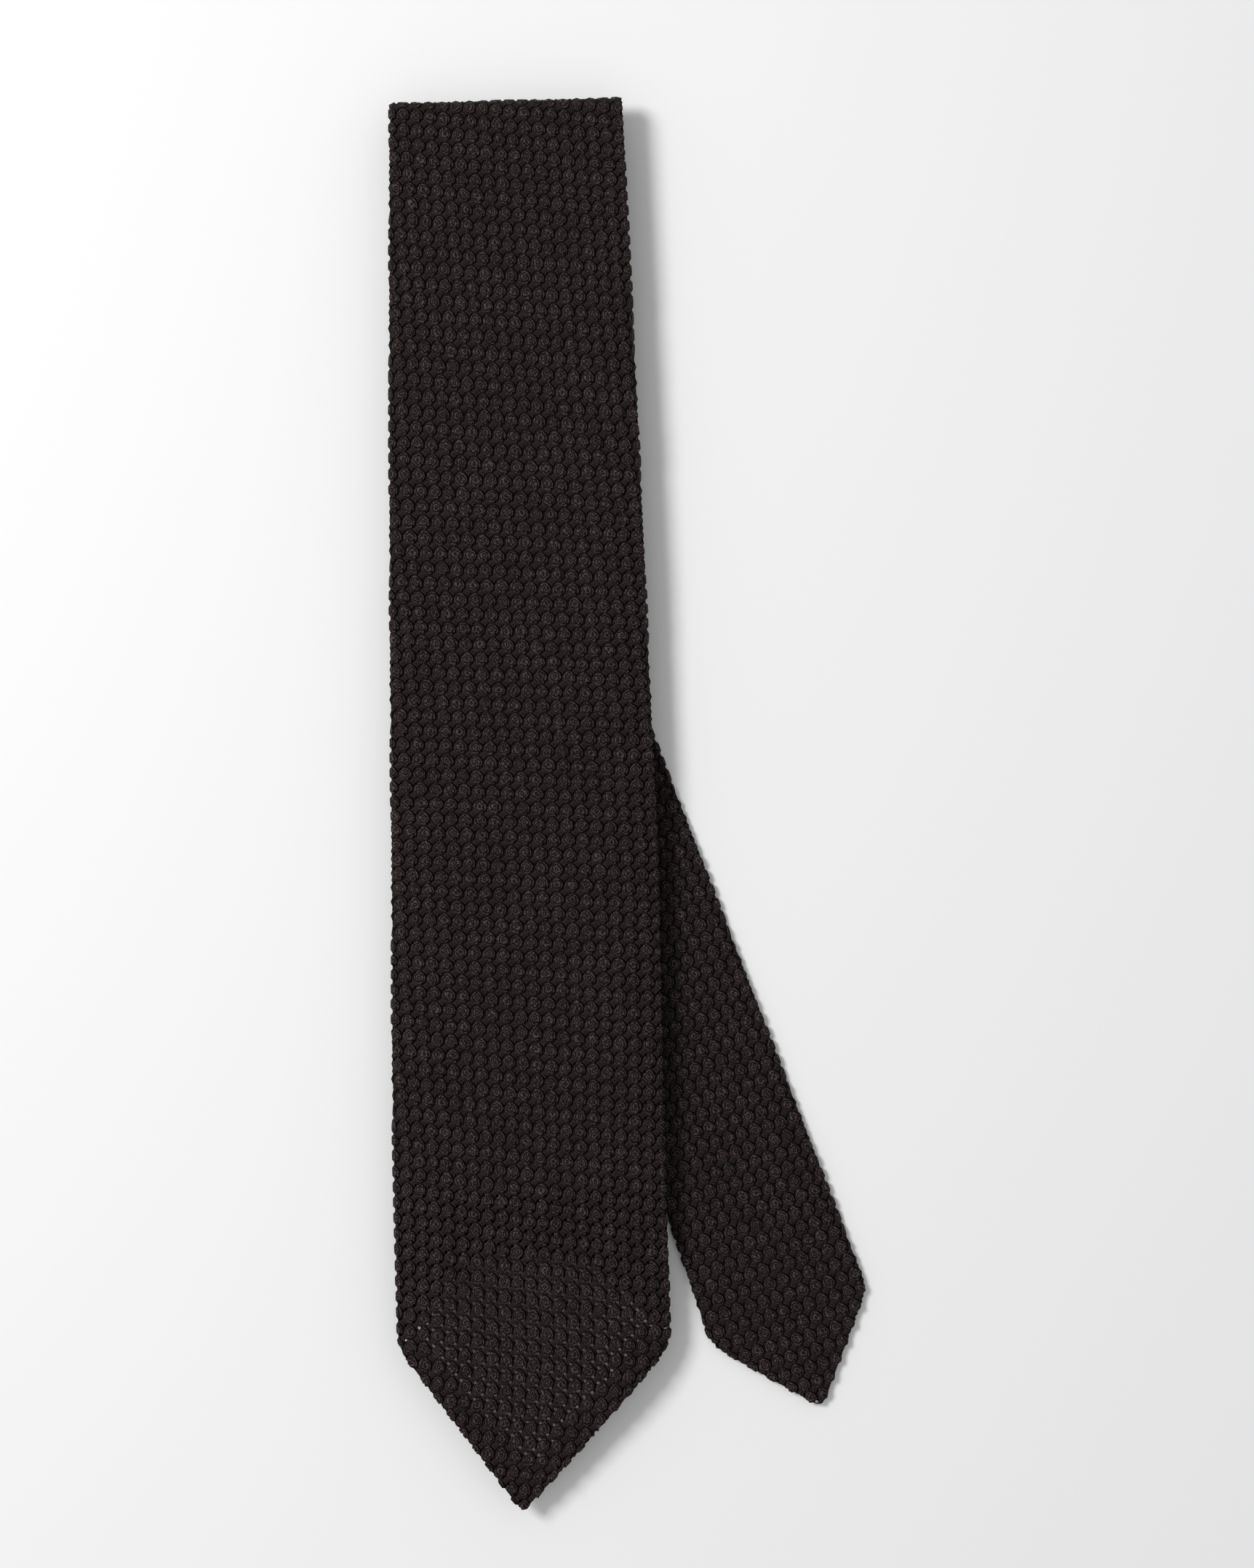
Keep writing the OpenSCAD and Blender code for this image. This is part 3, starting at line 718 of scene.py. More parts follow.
def way_out(length, x, y):
    """How far cloth reaches past a length's core, the way out from there, and the point's share."""
    past = np.abs(x) - (length["half"](y) - ROUND)
    out_x, out_y = np.sign(x), np.zeros_like(x)
    share = np.zeros_like(x)
    if "tip" in length:
        across, down = length["edge"]
        soft_x = np.sqrt(x * x + SOFT_TIP ** 2)
        end = soft_x * across - (y - length["tip"]) * down + HEM_ROUND - SOFT_TIP * across * 0.8 - POINT_EASE
        past, share = smooth_max(past, end, SOFT_SHOULDER)
        out_x = (1 - share) * out_x + share * across * x / soft_x
        out_y = -share * down
        size = np.maximum(np.hypot(out_x, out_y), 0.3)
        past, out_x, out_y = past / size, out_x / size, out_y / size
    return past, out_x, out_y, share


def from_seam(length, x, y):
    """How far tucked-under cloth still is from the seam in the middle of the back, below 0 past it."""
    past, out_x = way_out(length, x, y)[:2]
    return (x - out_x * np.maximum(past, 0) * 2 + out_x * math.pi * ROUND) * np.where(x < 0, -1, 1)


def turn_edges(length, x, y, height):
    """Cloth turned round both edges, tucked under and pressed against the seam in the back.
    Returns across, along, up, the cloth's own level, past, share."""
    past, out_x, out_y, share = way_out(length, x, y)
    radius = ROUND + (HEM_ROUND - ROUND) * share
    over = np.maximum(past, 0)
    angle = np.minimum(over / radius, math.pi)
    tucked = np.maximum(over - math.pi * radius, 0)
    reach = (radius + height) * np.sin(angle) - tucked - over
    up = ROUND - radius + (radius + height) * np.cos(angle)
    level = ROUND - radius + radius * np.cos(angle)
    across = x + out_x * reach
    own_side = np.where(x < 0, -1.0, 1.0)
    seam = across * own_side
    closed_up = (seam + np.sqrt(seam ** 2 + SEAM_SOFT ** 2)) / 2
    at_seam = (tucked > 0) & (share < 0.01) & (seam < SEAM_NEAR)
    across = np.where(at_seam, closed_up * own_side, across)
    return across, y + out_y * reach, up, level, past, share


def bend_round(fold, y, up, skin):
    """Cloth past a fold's axis bends round it. skin is the radius that keeps its length.
    Returns along, height, and how far round it is: 0 before the fold and more than 1 past it."""
    side = fold["side"]
    run = (y - fold["y"]) * side
    angle = np.clip(run / skin, 0, math.pi)
    radius = fold["mid"] + up
    before, after = np.minimum(run, 0), np.maximum(run - math.pi * skin, 0)
    along = fold["y"] + side * (before + radius * np.sin(angle) - after)
    return along, fold["z"] + radius * np.cos(angle), run / (math.pi * skin)


def lay(length, x, y, height):
    """Flat cloth laid along a length and round its fold, before it sags."""
    across, along, up, level, past, share = turn_edges(length, x, y, height)
    up, level = up * length["face"], level * length["face"]
    across = across * length["face"]
    round_share = np.full_like(x, -1.0)
    if "fold" in length:
        fold = length["fold"]
        along, z, round_share = bend_round(fold, along, up, fold["mid"] + level)
    else:
        z = length["z"] + up
    return across, along, z, past, share, round_share

# %% [markdown]
# ## How the cloth lies
# The blade is held up by the lengths under it. Past them its sides and its point sink a little towards the
# table, and its weave lies slightly askew, because the cloth is soft and was folded by hand. The lists hold
# measurements of the weave at twelve heights up the blade: spacing across and along in millimetres, the slant
# of the rows, and the drift of the columns. They were measured, not worked out from a formula. They came from
# a measuring program, not from a formula.

# %% Warps and sag
SAMPLE_Y = np.array([-165.5, -133.6, -101.7, -69.7, -37.8, -5.9, 26.0, 57.9, 89.8, 121.7, 153.7, 185.6])
ACROSS = np.array([4.02, 3.94, 3.96, 4.15, 4.21, 4.23, 4.23, 4.19, 4.19, 3.94, 3.91, 3.96])
ALONG = np.array([4.66, 4.70, 4.60, 4.51, 4.40, 4.28, 4.34, 4.30, 4.45, 4.75, 4.62, 4.30])
DROP = np.array([-.157, -.160, -.137, -.127, -.100, -.075, -.070, -.070, -.091, -.111, -.106, -.127])
DRIFT = np.array([.007, .007, .012, .032, .038, .045, .069, .094, .076, .065, .072, .065])
FINE_Y = np.linspace(-260, 240, 1001)


def running_sum(rate):
    """The integral of a rate over FINE_Y, zero at the top."""
    steps = (rate[1:] + rate[:-1]) / 2 * np.diff(FINE_Y)
    total = np.concatenate([[0], np.cumsum(steps)])
    return total - total[-1]


along_scale = np.interp(FINE_Y, SAMPLE_Y, ALONG) / (PITCH_ALONG / MM)
flat_y = running_sum(1 / along_scale)
side_shift = -running_sum(np.interp(FINE_Y, SAMPLE_Y, DRIFT))
shift_start = float(np.interp(0, FINE_Y, side_shift))


def uneven(x, y, strength=0.22):
    """Small smooth shifts, because no two knots are beaten up alike."""
    along = np.sin(x / 2.9 + 1.3 * np.sin(y / 5.3)) * np.sin(y / 3.7 + 1.1 * np.sin(x / 7.1))
    across = np.sin(y / 3.1 + 1.2 * np.sin(x / 6.1)) * np.sin(x / 4.3 + 1.4 * np.sin(y / 8.3))
    return strength * across, strength * along


def blade_warp(x, y):
    """From the loom's square cloth to the blade's slightly askew cloth. y is 0 at the fold."""
    y0 = np.interp(y + np.interp(blade_fold["y"], FINE_Y, flat_y), flat_y, FINE_Y)
    scale = np.interp(y0, SAMPLE_Y, ACROSS) / (PITCH_ACROSS / MM)
    x = x * scale + np.interp(y0, FINE_Y, side_shift) - shift_start
    y = y0 + np.interp(y0, SAMPLE_Y, DROP) * x
    across, along = uneven(x, y)
    return x + across, y + along


def slanted(drop, drift, along=1.0):
    """A warp with one slant for the rows and one for the columns."""
    return lambda x, y: (x - drift * y, y * along + drop * (x - drift * y))


def ripple(x, y, seed):
    """Low waves over a length, about one millimetre high at seed strength one."""
    turns = np.random.default_rng(seed).uniform(0, 2 * math.pi, 6)
    wave = np.sin(x / 9.0 + y / 31.0 + turns[0]) + np.sin(x / 14.0 - y / 23.0 + turns[1])
    wave = wave + np.sin(y / 17.0 + turns[2]) + 0.6 * np.sin(x / 5.0 + y / 12.0 + turns[3])
    return wave / 3.6


SAG_LIMIT = 5.8
SIDE_SAG = 0.009
END_SAG = 0.0009


def blade_sag(x, y):
    """How far the blade lies below its flat place."""
    side = np.maximum(np.abs(x) - back["half"](np.maximum(y, neck_fold["y"])), 0)
    end = np.maximum(neck_fold["y"] - neck_fold["outer"] - y, 0)
    drop = SIDE_SAG * side ** 2 + END_SAG * end ** 2
    free = np.clip((blade_fold["y"] - y) / 40, 0, 1)
    return -SAG_LIMIT * np.tanh(drop / SAG_LIMIT) + 0.16 * ripple(x, y, 4) * free


def blade_sideways(y):
    """How far the blade's middle line wanders from straight."""
    lower = np.clip(-y / 140, 0, 1)
    point = np.clip((-165 - y) / 41, 0, 1)
    return -0.9 * lower * lower * (3 - 2 * lower) - 4.0 * point ** 1.3 + 0.25 * np.sin(y / 27 + 1) * lower


def settle_blade(x, y, z):
    return x + blade_sideways(y), y, z + blade_sag(x, y)


def to_tail(x, y, z):
    """From the tail's own frame, point down, to the tie's frame."""
    cos, sin = math.cos(TAIL_ANGLE), math.sin(TAIL_ANGLE)
    wave = 0.12 * ripple(x, y, 9) * np.clip(-y / 30, 0, 1)
    return x * cos - y * sin, TURN_Y + x * sin + y * cos, z + np.maximum(wave, -0.1)


def stay(x, y, z):
    return x, y, z


# %% Pieces of cloth
LEAST_SHARE = 0.3
FITTED_SHARE = 0.31


def lay_cloth(length, flat, warp, settle):
    """Each point's place in metres, and each point's cell centre with its distance past the core."""
    height = flat["points"][:, 2] / MM
    x, y = warp(flat["points"][:, 0] / MM, flat["points"][:, 1] / MM)
    across, along, z = lay(length, x, y, height)[:3]
    across, along, z = settle(across, along, z)
    laid = np.stack([(across + AXIS), along, z], 1) * MM
    x, y = warp(flat["centres"][:, 0] / MM, flat["centres"][:, 1] / MM)
    across, along, z, past, share, round_share = lay(length, x, y, np.zeros_like(x))
    centre = {"x": across, "y": along, "past": past, "share": share, "flat_x": x, "flat_y": y,
              "round": round_share, "seam": from_seam(length, x, y)}
    return laid, centre


def cut_piece(name, flat, laid, keep, body, nodes=(), cloth=silk):
    """One piece of cloth from the cells that keep marks, on its body, with the imported nodes it replaces
    hidden. Its declared flat size is the box round its cells, but a piece that fills less than 0.3 of that
    box is declared narrower, so that it fills 0.31 of what is declared, and no side is declared under the
    smallest one allowed."""
    part = keep_cells(flat, keep)
    piece = cloth_object(name, part, laid[keep], cloth)
    cells = len(np.unique(part["centres"], axis=0))
    spans = (part["centres"].max(0) - part["centres"].min(0))[:2] + np.array([PITCH_ACROSS, PITCH_ALONG])
    area = cells * PITCH_ACROSS * PITCH_ALONG
    width, length = float(spans[0]), float(spans[1])
    if area < LEAST_SHARE * width * length:
        width = area / (FITTED_SHARE * length)
    if nodes:
        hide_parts(*nodes)
    if body:
        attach(piece, body)
    print(name, cells, "cells,", round(width * 1000), "x", round(length * 1000), "mm")
    return piece


# %% [markdown]
# ## The blade
# The blade's front shows most, so it is woven from the fine cell. Its flaps, which close the back, take the
# plain cell. Cells past the slanted edges of the point make the rolled hem, and those past the top make the
# outer skin of the fold.

# %% Weave and cut the blade
HALF_TURN = math.pi * ROUND / 2
OPEN_Y = BLADE_TIP + POINT_LENGTH + 42.0
HEM_WIDE = 6.0
PRESSED = 1.6
BLADE_LOW, BLADE_HIGH = (-112 * MM, -408 * MM), (112 * MM, 26 * MM)


def above_parting(x, y, open_y, shoulder_y, half):
    """True where the back flaps still lie over the point."""
    return y > open_y - (open_y - shoulder_y) * np.abs(x) / half


def meets_seam(centre):
    """True for cells that lie on their own side of the seam in the back, or are pressed against it."""
    return (centre["past"] < HALF_TURN * 2 + 2) | (centre["seam"] > -PRESSED)


def clear_of_tip(at, length, gap=1.8):
    """True for cells whose foot on the point's edge is off the tip, so that they fold to one side."""
    return np.abs(at["flat_x"]) - length["edge"][0] * at["past"] > gap


blade_fine = weave(fine_cell, BLADE_LOW, BLADE_HIGH, seed=3)
laid, at = lay_cloth(blade, blade_fine, blade_warp, settle_blade)
on_front = at["past"] < HALF_TURN
below_fold = at["round"] < 0
PART_LINES = (blade_fold["y"] + 9, 66.0, -68.0, BLADE_TIP - 9)
for part_name, high, low in zip(("upper", "middle", "lower"), PART_LINES, PART_LINES[1:]):
    part = on_front & below_fold & (at["flat_y"] <= high) & (at["flat_y"] > low)
    cut_piece("blade_front_" + part_name, blade_fine, laid, part, "blade", ["blade_cloth"])

blade_plain = weave(plain_cell, BLADE_LOW, BLADE_HIGH, seed=3)
laid, at = lay_cloth(blade, blade_plain, blade_warp, settle_blade)
off_front = at["past"] >= HALF_TURN
below_fold = at["round"] < 0
flap = (off_front & below_fold & meets_seam(at)
        & above_parting(at["x"], at["y"], OPEN_Y, BLADE_TIP + POINT_LENGTH, BLADE_HALF))
cut_piece("blade_flaps", blade_plain, laid, flap, "blade", ["blade_cloth"])
hem = (off_front & ~flap & (at["share"] > 0.25) & (at["past"] < math.pi * HEM_ROUND + HEM_WIDE)
       & (at["y"] < BLADE_TIP + POINT_LENGTH + 4) & clear_of_tip(at, blade))
for side, node in ((-1, "blade_hem_left"), (1, "blade_hem_right")):
    one_side = hem & (np.sign(at["flat_x"]) == side)
    cut_piece(node + "_cloth", blade_plain, laid, one_side, "blade", [node], silk_hem)

in_fold = (at["round"] >= 0) & (at["round"] < 1) & meets_seam(at)
fold_cloth = cut_piece("blade_fold_skin", blade_plain, laid, in_fold, None, ["blade_fold_cloth"])


def blend_over(piece):
    """Bakes a piece at a fold into its mesh where it lies; no body carries it."""
    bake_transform(piece)


blend_over(fold_cloth)


# %% [markdown]
# ## The hidden lengths
# The blade's back, the neck and the top of the tail lie under the blade. They are the same tubes, narrower
# towards the neck. The cloth of a real tie is cut from three lengths joined by slanted seams, so the back and
# the neck each change from one strip to the next.

# %% Back, neck and top of the tail
def strip(cell, half, y0, y1, seed):
    """Flat cloth wide enough to wrap a length from y0 to y1."""
    reach = (2 * half + 8) * MM
    return weave(cell, (-reach, (y0 - 3) * MM), (reach, (y1 + 3) * MM), seed=seed)


def above_bias(at, y):
    """True on the upper side of a slanted seam that crosses the middle at y."""
    return at["x"] + at["y"] - y > 0


SKIN = {f["y"]: math.pi * (f["mid"] + ROUND) for f in (blade_fold, neck_fold, tail_fold)}
BACK_SEAM_Y = (neck_fold["y"] + blade_fold["y"]) / 2
NECK_SEAM_Y = (neck_fold["y"] + tail_fold["y"]) / 2

flat = strip(plain_cell, 34, neck_fold["y"] - SKIN[neck_fold["y"]], blade_fold["y"], 11)
laid, at = lay_cloth(back, flat, slanted(-0.06, 0.03), stay)
closed = meets_seam(at) & (at["flat_y"] < blade_fold["y"] - 1)
on_back = closed & (at["round"] < 0)
upper = above_bias(at, BACK_SEAM_Y)
cut_piece("back_wide", flat, laid, on_back & upper, "blade_back", ["back_cloth_wide"])
cut_piece("back_narrow", flat, laid, on_back & ~upper, "blade_back", ["back_cloth_narrow"])
in_fold = closed & (at["round"] >= 0) & (at["round"] < 1)
skin = cut_piece("neck_fold_skin", flat, laid, in_fold, None, ["neck_fold_cloth"])
blend_over(skin)

flat = strip(plain_cell, 22, neck_fold["y"], tail_fold["y"] + SKIN[tail_fold["y"]], 12)
laid, at = lay_cloth(neck, flat, slanted(-0.05, -0.02), stay)
closed = meets_seam(at) & (at["flat_y"] > neck_fold["y"] + 1)
on_neck = closed & (at["round"] < 0)
upper = above_bias(at, NECK_SEAM_Y)
cut_piece("neck_lower", flat, laid, on_neck & ~upper, "neck", ["neck_cloth"])
cut_piece("neck_upper", flat, laid, on_neck & upper, "neck", ["neck_cloth_tail"])
in_fold = closed & (at["round"] >= 0) & (at["round"] < 1)
skin = cut_piece("tail_fold_skin", flat, laid, in_fold, None, ["tail_fold_cloth"])
blend_over(skin)

TURN_REACH = 20.0
flat = strip(plain_cell, 19, TURN_Y + TURN_REACH, tail_fold["y"], 13)
laid, at = lay_cloth(tail_top, flat, slanted(-0.05, -0.02), stay)
closed = meets_seam(at) & (at["flat_y"] < tail_fold["y"] - 1)
cut_piece("tail_top_length", flat, laid, closed & (at["flat_y"] > TURN_Y + TURN_REACH), "tail_top",
          ["tail_top_cloth"])

# %% [markdown]
# ## The turn
# Below the last fold the tail leaves the stack to the right. The tube bends in its own plane there, over
# forty millimetres, so its cloth is laid along a curved middle line.

# %% Turn of the tail
turn_run = np.linspace(0, 2 * TURN_REACH, 201)
turn_share = turn_run / turn_run[-1]
turn_angle = TAIL_ANGLE * turn_share ** 2 * (3 - 2 * turn_share)
turn_step = turn_run[1]
turn_x = np.concatenate([[0], np.cumsum(np.sin(turn_angle[1:]) * turn_step)])
turn_y = TURN_Y + TURN_REACH - np.concatenate([[0], np.cumsum(np.cos(turn_angle[1:]) * turn_step)])


def settle_turn(x, y, z):
    """Bends a straight length, whose y is 0 at the start and falls, along the turn's middle line."""
    run = np.clip(-y, turn_run[0], turn_run[-1])
    angle = np.interp(run, turn_run, turn_angle)
    extra = -y - run
    along = np.interp(run, turn_run, turn_x) + np.sin(angle) * extra
    down = np.interp(run, turn_run, turn_y) - np.cos(angle) * extra
    return along + x * np.cos(angle), down + x * np.sin(angle), z + 0.05


turn = {"z": tail_top["z"], "face": 1, "half": lambda y: np.full_like(y, TURN_HALF)}
flat = strip(plain_cell, TURN_HALF, -2 * TURN_REACH, 0, 14)
laid, at = lay_cloth(turn, flat, slanted(-0.05, 0.06), settle_turn)
keep = (at["flat_y"] < 0) & (at["flat_y"] > -2 * TURN_REACH + 2)
keep &= (at["past"] < 2 * HALF_TURN + TURN_HALF - 2)
tail_turn = cut_piece("tail_turn", flat, laid, keep, None)
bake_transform(tail_turn)

# %% Tail
TAIL_OPEN = TAIL_POINT + 26.0 - TAIL_LENGTH
TAIL_LOW, TAIL_HIGH = (-85 * MM, -290 * MM), (85 * MM, -14 * MM)
tail_warp = slanted(-0.052, 0.109, 1.02)
tail_fine = weave(fine_cell, TAIL_LOW, TAIL_HIGH, seed=21)
laid, at = lay_cloth(tail, tail_fine, tail_warp, to_tail)
below_turn = at["flat_y"] < -TURN_REACH
keep = (at["past"] < HALF_TURN) & below_turn
cut_piece("tail_front", tail_fine, laid, keep, "tail", ["tail_cloth"])

tail_plain = weave(plain_cell, TAIL_LOW, TAIL_HIGH, seed=21)
laid, at = lay_cloth(tail, tail_plain, tail_warp, to_tail)
flat_at = lay_cloth(tail, tail_plain, tail_warp, stay)[1]
below_turn = at["flat_y"] < -TURN_REACH
off_front = at["past"] >= HALF_TURN
flap = (off_front & below_turn & meets_seam(flat_at)
        & above_parting(flat_at["x"], flat_at["y"], TAIL_OPEN, TAIL_POINT - TAIL_LENGTH, TAIL_HALF))
cut_piece("tail_flaps", tail_plain, laid, flap, "tail", ["tail_cloth"])
hem = (off_front & ~flap & (at["share"] > 0.25) & (at["past"] < math.pi * HEM_ROUND + HEM_WIDE)
       & (flat_at["y"] < TAIL_POINT - TAIL_LENGTH + 4) & clear_of_tip(at, tail))
for side, node in ((-1, "tail_hem_left"), (1, "tail_hem_right")):
    one_side = hem & (np.sign(at["flat_x"]) == side)
    cut_piece(node + "_cloth", tail_plain, laid, one_side, "tail", [node], silk_hem)

# %% [markdown]
# ## Wool inside
# The interlining is a strip of brushed wool, one layer here, that gives the tube its body. It stops above
# each open point. It is also why the weave's holes look dark everywhere but at the points.

# %% Closed strips
def strip_faces(count, wide):
    """The faces of a closed strip whose points are two layers of count rows, each wide points."""
    layer = count * wide
    faces = []
    for i in range(count - 1):
        for j in range(wide - 1):
            a = i * wide + j
            quad = (a, a + 1, a + wide + 1, a + wide)
            faces += [quad, tuple(layer + k for k in reversed(quad))]
    rim = list(range(wide)) + [i * wide + wide - 1 for i in range(1, count)]
    rim += [(count - 1) * wide + j for j in range(wide - 2, -1, -1)]
    rim += [i * wide for i in range(count - 2, 0, -1)]
    return faces + [(b, a, a + layer, b + layer) for a, b in zip(rim, rim[1:] + rim[:1])]


def mesh_volume(mesh):
    """The signed volume inside a closed mesh: negative where its faces point inward."""
    mesh.calc_loop_triangles()
    p = np.array([v.co for v in mesh.vertices])
    t = np.array([tri.vertices for tri in mesh.loop_triangles])
    return float((p[t[:, 0]] * np.cross(p[t[:, 1]], p[t[:, 2]])).sum() / 6)


def closed_piece(name, points, faces, material, soft=True):
    """An object from a closed surface, with its faces turned outward."""
    mesh = bpy.data.meshes.new(name)
    mesh.from_pydata(points, [], faces)
    if mesh_volume(mesh) < 0:
        mesh.flip_normals()
    if soft:
        mesh.polygons.foreach_set("use_smooth", [True] * len(mesh.polygons))
    mesh.materials.append(material)
    piece = bpy.data.objects.new(name, mesh)
    bpy.context.scene.collection.objects.link(piece)
    return piece


def stands_for(piece, node, body):
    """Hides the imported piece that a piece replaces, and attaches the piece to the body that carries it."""
    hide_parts(node)
    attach(piece, body)


# %% Wool
def slab(name, rows, half_of, place, thick, material, columns=8):
    """A closed strip: rows of points across, laid by place, with a top, a bottom and a rim."""
    wide = columns + 1
    points = []
    for up in (thick / 2, -thick / 2):
        for y in rows:
            half = float(half_of(y))
            x = np.linspace(-half, half, wide)
            across, along, z = place(x, np.full(wide, float(y)), up)
            points += list(zip((across + AXIS) * MM, along * MM, (z + 0 * x) * MM))
    return closed_piece(name, points, strip_faces(len(rows), wide), material)


def wool_strip(name, node, body, length, y0, y1, settle=None, step=4.0, thick=1.0):
    """The interlining of one length from y0 up to y1."""
    rows = np.linspace(y0, y1, max(2, int((y1 - y0) / step) + 1))
    settle = settle or stay
    piece = slab(name, rows, lambda y: length["half"](y) - 0.9,
                 lambda x, y, up: settle(x, y, length["z"] - 0.1 * length["face"] + up), thick, wool)
    widest = 2 * max(float(length["half"](y)) for y in rows) - 3
    return declare_wool(piece, node, body)


def declare_wool(piece, node, body):
    """Hides the imported wool piece that a strip replaces, if any, and attaches the strip to its body, if
    any. Declares a wool strip, with its area kept between 0.31 and 1 of its declared flat size.
    """
    if node:
        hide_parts(node)
    if body:
        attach(piece, body)
    return piece


wool_strip("blade_interlining", "blade_wool", "blade", blade, OPEN_Y, blade_fold["y"], settle_blade)
wool_strip("back_interlining", "back_wool", "blade_back", back, neck_fold["y"], blade_fold["y"])
wool_strip("neck_interlining", "neck_wool", "neck", neck, neck_fold["y"], tail_fold["y"])
wool_strip("tail_top_interlining", "tail_top_wool", "tail_top", tail_top, TURN_Y + TURN_REACH,
           tail_fold["y"])
wool_strip("tail_interlining", "tail_wool", "tail", tail, TAIL_OPEN, -TURN_REACH, to_tail)
piece = wool_strip("turn_interlining", None, None, turn, -2 * TURN_REACH, 0.0, settle_turn, 2.0)
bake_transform(piece)

for name, fold, lower, upper in (("blade_fold", blade_fold, "blade_back", "blade"),
                                 ("neck_fold", neck_fold, "neck", "blade_back"),
                                 ("tail_fold", tail_fold, "tail_top", "neck")):
    run = math.pi * fold["mid"]
    rows = fold["y"] + fold["side"] * np.linspace(0, run, 13)
    half = fold["half"] - 1.5

    def round_fold(x, y, up, fold=fold):
        along, z = bend_round(fold, y, up, fold["mid"])[:2]
        return x, along, z

    piece = slab(name + "_interlining", rows, lambda y, half=half: half, round_fold, 0.8, wool)
    declare_wool(piece, name + "_wool", None)
    blend_over(piece)
print("wool pieces done")


# %% [markdown]
# ## Sewing, keeper and labels
# A hand-rolled point is hemmed with small stitches, its flaps are held by a bar tack, and one long slip
# stitch closes the seam and ends in a spare loop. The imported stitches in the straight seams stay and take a
# thread finish. Those on the blade's point move with its sag, and the tacks are wound thread.

# %% Stitches that follow the point's sag
def moved_copy(node, name, settle, lower, body, material):
    """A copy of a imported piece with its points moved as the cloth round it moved."""
    source = bpy.data.objects[node]
    mesh = source.data.copy()
    mesh.name = name
    points = np.array([source.matrix_world @ v.co for v in mesh.vertices]) / MM
    x, y, z = settle(points[:, 0] - AXIS, points[:, 1], points[:, 2] - lower)
    laid = np.stack([x + AXIS, y, z], 1) * MM
    mesh.vertices.foreach_set("co", laid.astype(np.float32).ravel())
    mesh.materials.clear()
    mesh.materials.append(material)
    mesh.polygons.foreach_set("use_smooth", [True] * len(mesh.polygons))
    mesh.update()
    piece = bpy.data.objects.new(name, mesh)
    bpy.context.scene.collection.objects.link(piece)
    stands_for(piece, node, body)


moved_copy("blade_hem_stitches", "blade_hem_sewing", settle_blade, 0.35, "blade", thread)
SEWING = ("blade_slip_stitch", "back_slip_stitch", "neck_slip_stitch", "tail_top_slip_stitch",
          "tail_slip_stitch", "tail_hem_stitches", "keeper_stitches", "label_stitches")
JOINING = ("back_joining_edges", "neck_joining_edges")
for nodes, material in ((SEWING, thread), (JOINING, turned_silk)):
    for node in nodes:
        packed = bpy.data.objects[node]
        packed.data.materials.clear()
        packed.data.materials.append(material)


# %% Bar tacks of wound thread
def wound_tack(node, name, body, turns=12):
    """Thread wound over a seam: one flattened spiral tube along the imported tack's box."""
    low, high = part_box(node)
    middle = (low + high) / 2
    flat_box = bpy.data.objects[node].data
    corners = np.array([v.co for v in flat_box.vertices])
    spread = corners - corners.mean(0)
    main = np.linalg.svd(spread[:, :2], full_matrices=False)[2][0]
    side = np.array([-main[1], main[0]])
    length = np.ptp(spread[:, :2] @ main)
    width = np.ptp(spread[:, :2] @ side)
    height = high.z - low.z
    steps = turns * 10
    points, faces = [], []
    for k in range(steps + 1):
        angle = 2 * math.pi * turns * k / steps
        at = (k / steps - 0.5) * (length - 0.5 * MM)
        for q in range(6):
            a = 2 * math.pi * q / 6
            out = 1 + 0.16 * math.sin(a) * 2
            x = at + 0.3 * MM * math.cos(a)
            y = (width / 2 - 0.2 * MM) * math.cos(angle) * out
            z = (height / 2 - 0.02 * MM) * math.sin(angle) * out
            place = corners.mean(0)[:2] + main * x + side * y
            points.append((float(place[0]), float(place[1]), middle.z + z))
    for k in range(steps):
        for q in range(6):
            a, b = k * 6 + q, k * 6 + (q + 1) % 6
            faces.append((a, b, b + 6, a + 6))
    faces.append(tuple(range(5, -1, -1)))
    faces.append(tuple(steps * 6 + q for q in range(6)))
    stands_for(closed_piece(name, points, faces, thread), node, body)


wound_tack("blade_bar_tack", "blade_tack", "blade")
wound_tack("tail_bar_tack", "tail_tack", "tail")


# %% Keeper and labels
def patch(name, node, body, material, thick, wave=0.0, step=2.0):
    """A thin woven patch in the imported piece's box, with soft corners and a slight wave."""
    low, high = box_mm(node)
    middle, half = (low + high) / 2, (high - low) / 2
    rows = np.arange(-half[1], half[1] + 0.01, step)
    rows[-1] = half[1]
    edge = 0.8

    def half_at(y):
        return half[0] - edge * (1 - math.sqrt(max(0.0, 1 - max(0.0, (abs(y) - half[1] + edge) / edge) ** 2)))

    def place(x, y, up):
        return x + middle[0] - AXIS, y + middle[1], middle[2] + up + wave * np.sin(x / 6.0)

    piece = slab(name, rows, half_at, place, thick, material, columns=20)
    stands_for(piece, node, body)


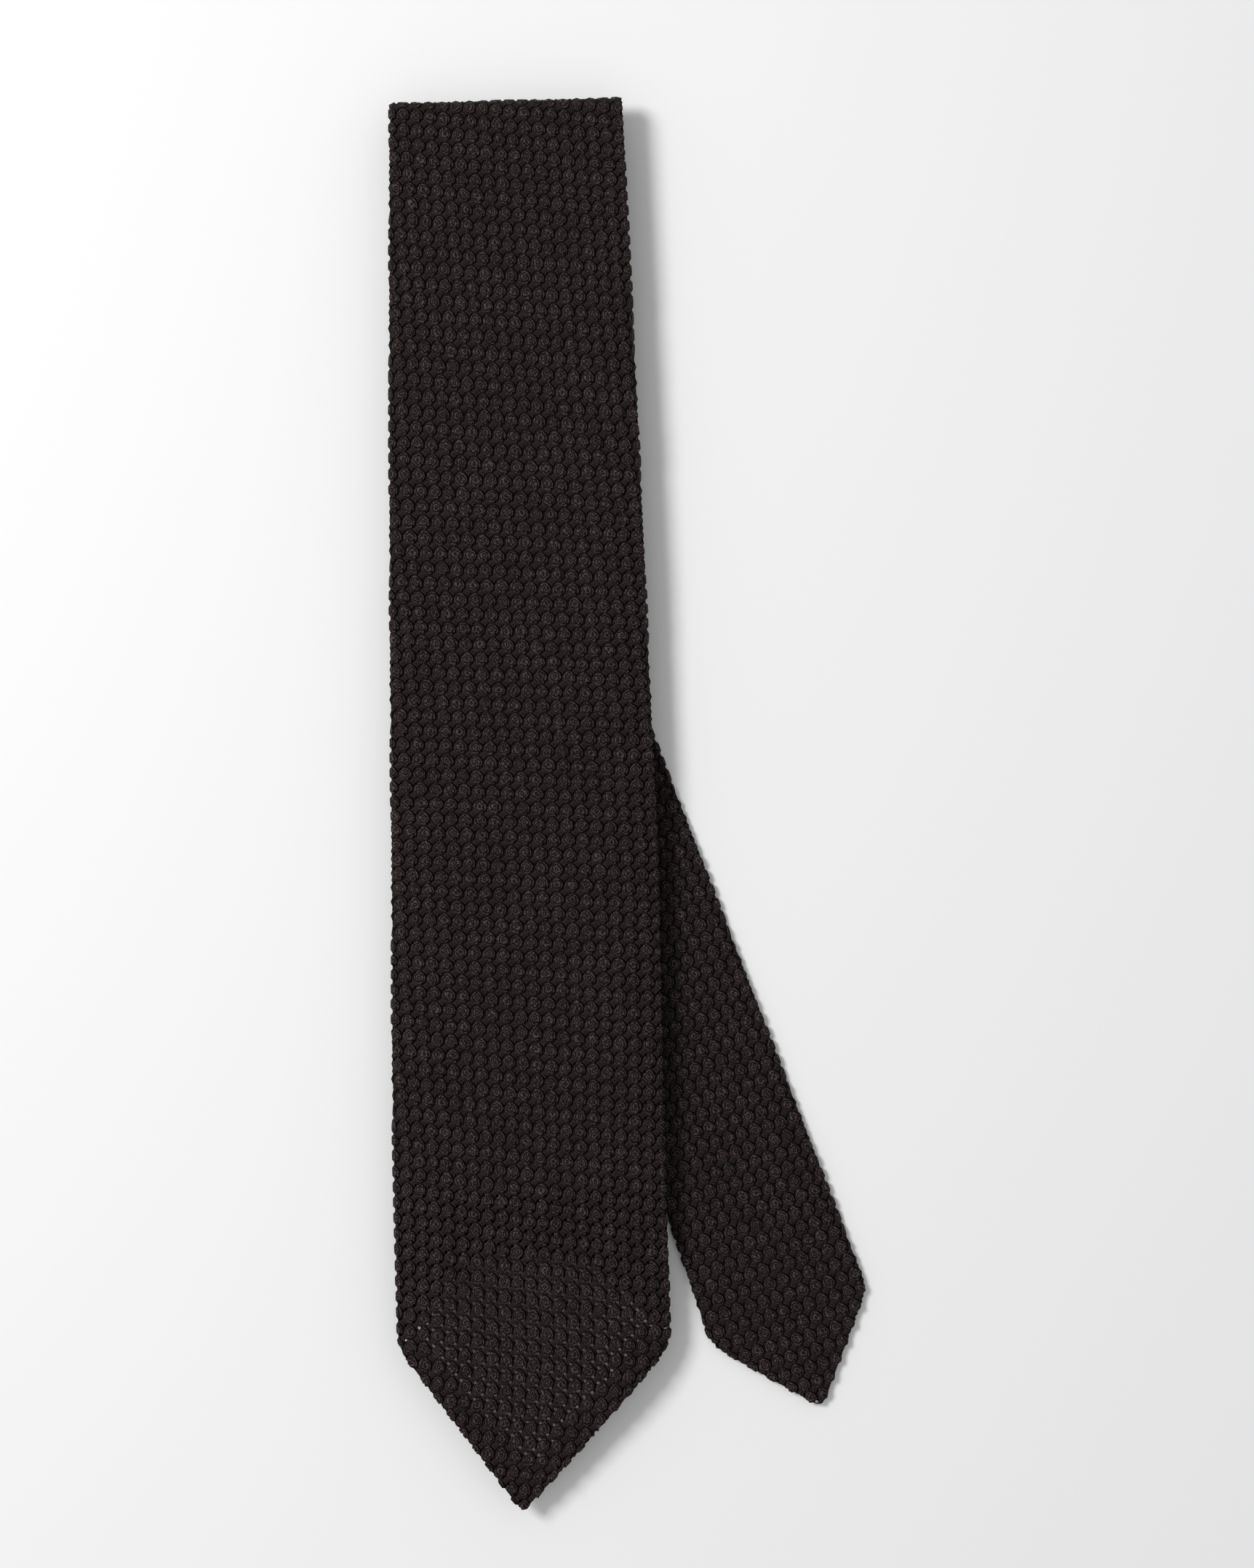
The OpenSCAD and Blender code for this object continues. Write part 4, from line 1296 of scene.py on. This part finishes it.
patch("blank_patch", "blank_label", "blade", label_cloth, 0.24, 0.03)
patch("care_patch", "care_label", "blade", label_cloth, 0.24, 0.03)
low, high = box_mm("keeper")
keeper_low, keeper_high = ((low[0] - AXIS) * MM, low[1] * MM), ((high[0] - AXIS) * MM, high[1] * MM)
keeper_flat = weave(plain_cell, keeper_low, keeper_high, seed=31)
points, centres = keeper_flat["points"] / MM, keeper_flat["centres"] / MM
keep = (centres[:, 0] > low[0] - AXIS + 1.5) & (centres[:, 0] < high[0] - AXIS - 1.5)
keep &= (centres[:, 1] > low[1] + 1.0) & (centres[:, 1] < high[1] - 1.0)
inside_x = np.clip(points[:, 0], low[0] - AXIS, high[0] - AXIS)
inside_y = np.clip(points[:, 1], low[1], high[1])
keeper_laid = np.stack([-inside_x + (low[0] + high[0] - 2 * AXIS) + AXIS, inside_y,
                        low[2] + 0.40 - 0.75 * points[:, 2]], 1) * MM
cut_piece("keeper_loop", keeper_flat, keeper_laid, keep, "blade", ["keeper"])
patch("keeper_inside", "keeper", "blade", turned_silk, 0.3)

# %% [markdown]
# ## Turned-in edges
# A rolled hem hides the cut edge inside it, so a second layer of silk lies behind the hem's cells and no
# light comes through there. The tail's point is lined in the same way over its whole width.

# %% Linings of the points
def point_lining(name, length, settle, body, node, side, wide, z_drop=0.95):
    """A thin strip behind one slanted edge of a point, from near the tip to the shoulder. It is narrower than
    the smallest side allowed, so its declared flat size is that side and the length that keeps its area."""
    across, down = length["edge"]
    half = BLADE_HALF if length is blade else TAIL_HALF
    drop = POINT_LENGTH if length is blade else TAIL_POINT
    shares = np.linspace(0.08, 0.97, 14)
    rows = []
    for share in shares:
        edge = np.array([half * share, length["tip"] + drop * share])
        inward = np.array([-across, down])
        reach = min(wide, 0.9 * half * share / across)
        rows.append((edge + inward * 0.2, edge + inward * reach))
    points, columns = [], 5
    for up in (0.12, -0.12):
        for outer, inner in rows:
            for t in np.linspace(0, 1, columns):
                p = outer + (inner - outer) * t
                x, y, z = settle(np.array([side * p[0]]), np.array([p[1]]),
                                 np.array([length["z"] + THICK / 2 - z_drop + up]))
                points.append(((float(x[0]) + AXIS) * MM, float(y[0]) * MM, float(z[0]) * MM))
    piece = closed_piece(name, points, strip_faces(len(rows), columns), turned_silk, soft=False)
    stands_for(piece, node, body)


for side, word in ((-1, "left"), (1, "right")):
    point_lining("blade_turned_edge_" + word, blade, settle_blade, "blade", "blade_hem_" + word,
                 side, HEM_WIDE)
    point_lining("tail_turned_edge_" + word, tail, to_tail, "tail", "tail_hem_" + word, side, HEM_WIDE)
lining_rows = np.linspace(TAIL_POINT - TAIL_LENGTH, TAIL_OPEN, 10)
tail_lining = slab("tail_lining", np.concatenate([np.linspace(-TAIL_LENGTH + 3, lining_rows[0], 9)[:-1],
                                                   lining_rows]),
                   lambda y: min(float(tail["half"](y)), TAIL_HALF * (TAIL_LENGTH + y) / TAIL_POINT) - 0.9,
                   lambda x, y, up: to_tail(x, y, tail["z"] + 0.25 + up), 0.2, turned_silk)
stands_for(tail_lining, "tail_cloth", "tail")

# %% Remove the cells' models and finish
for cell in (fine_cell, plain_cell):
    bpy.data.objects.remove(cell)
low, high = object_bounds()
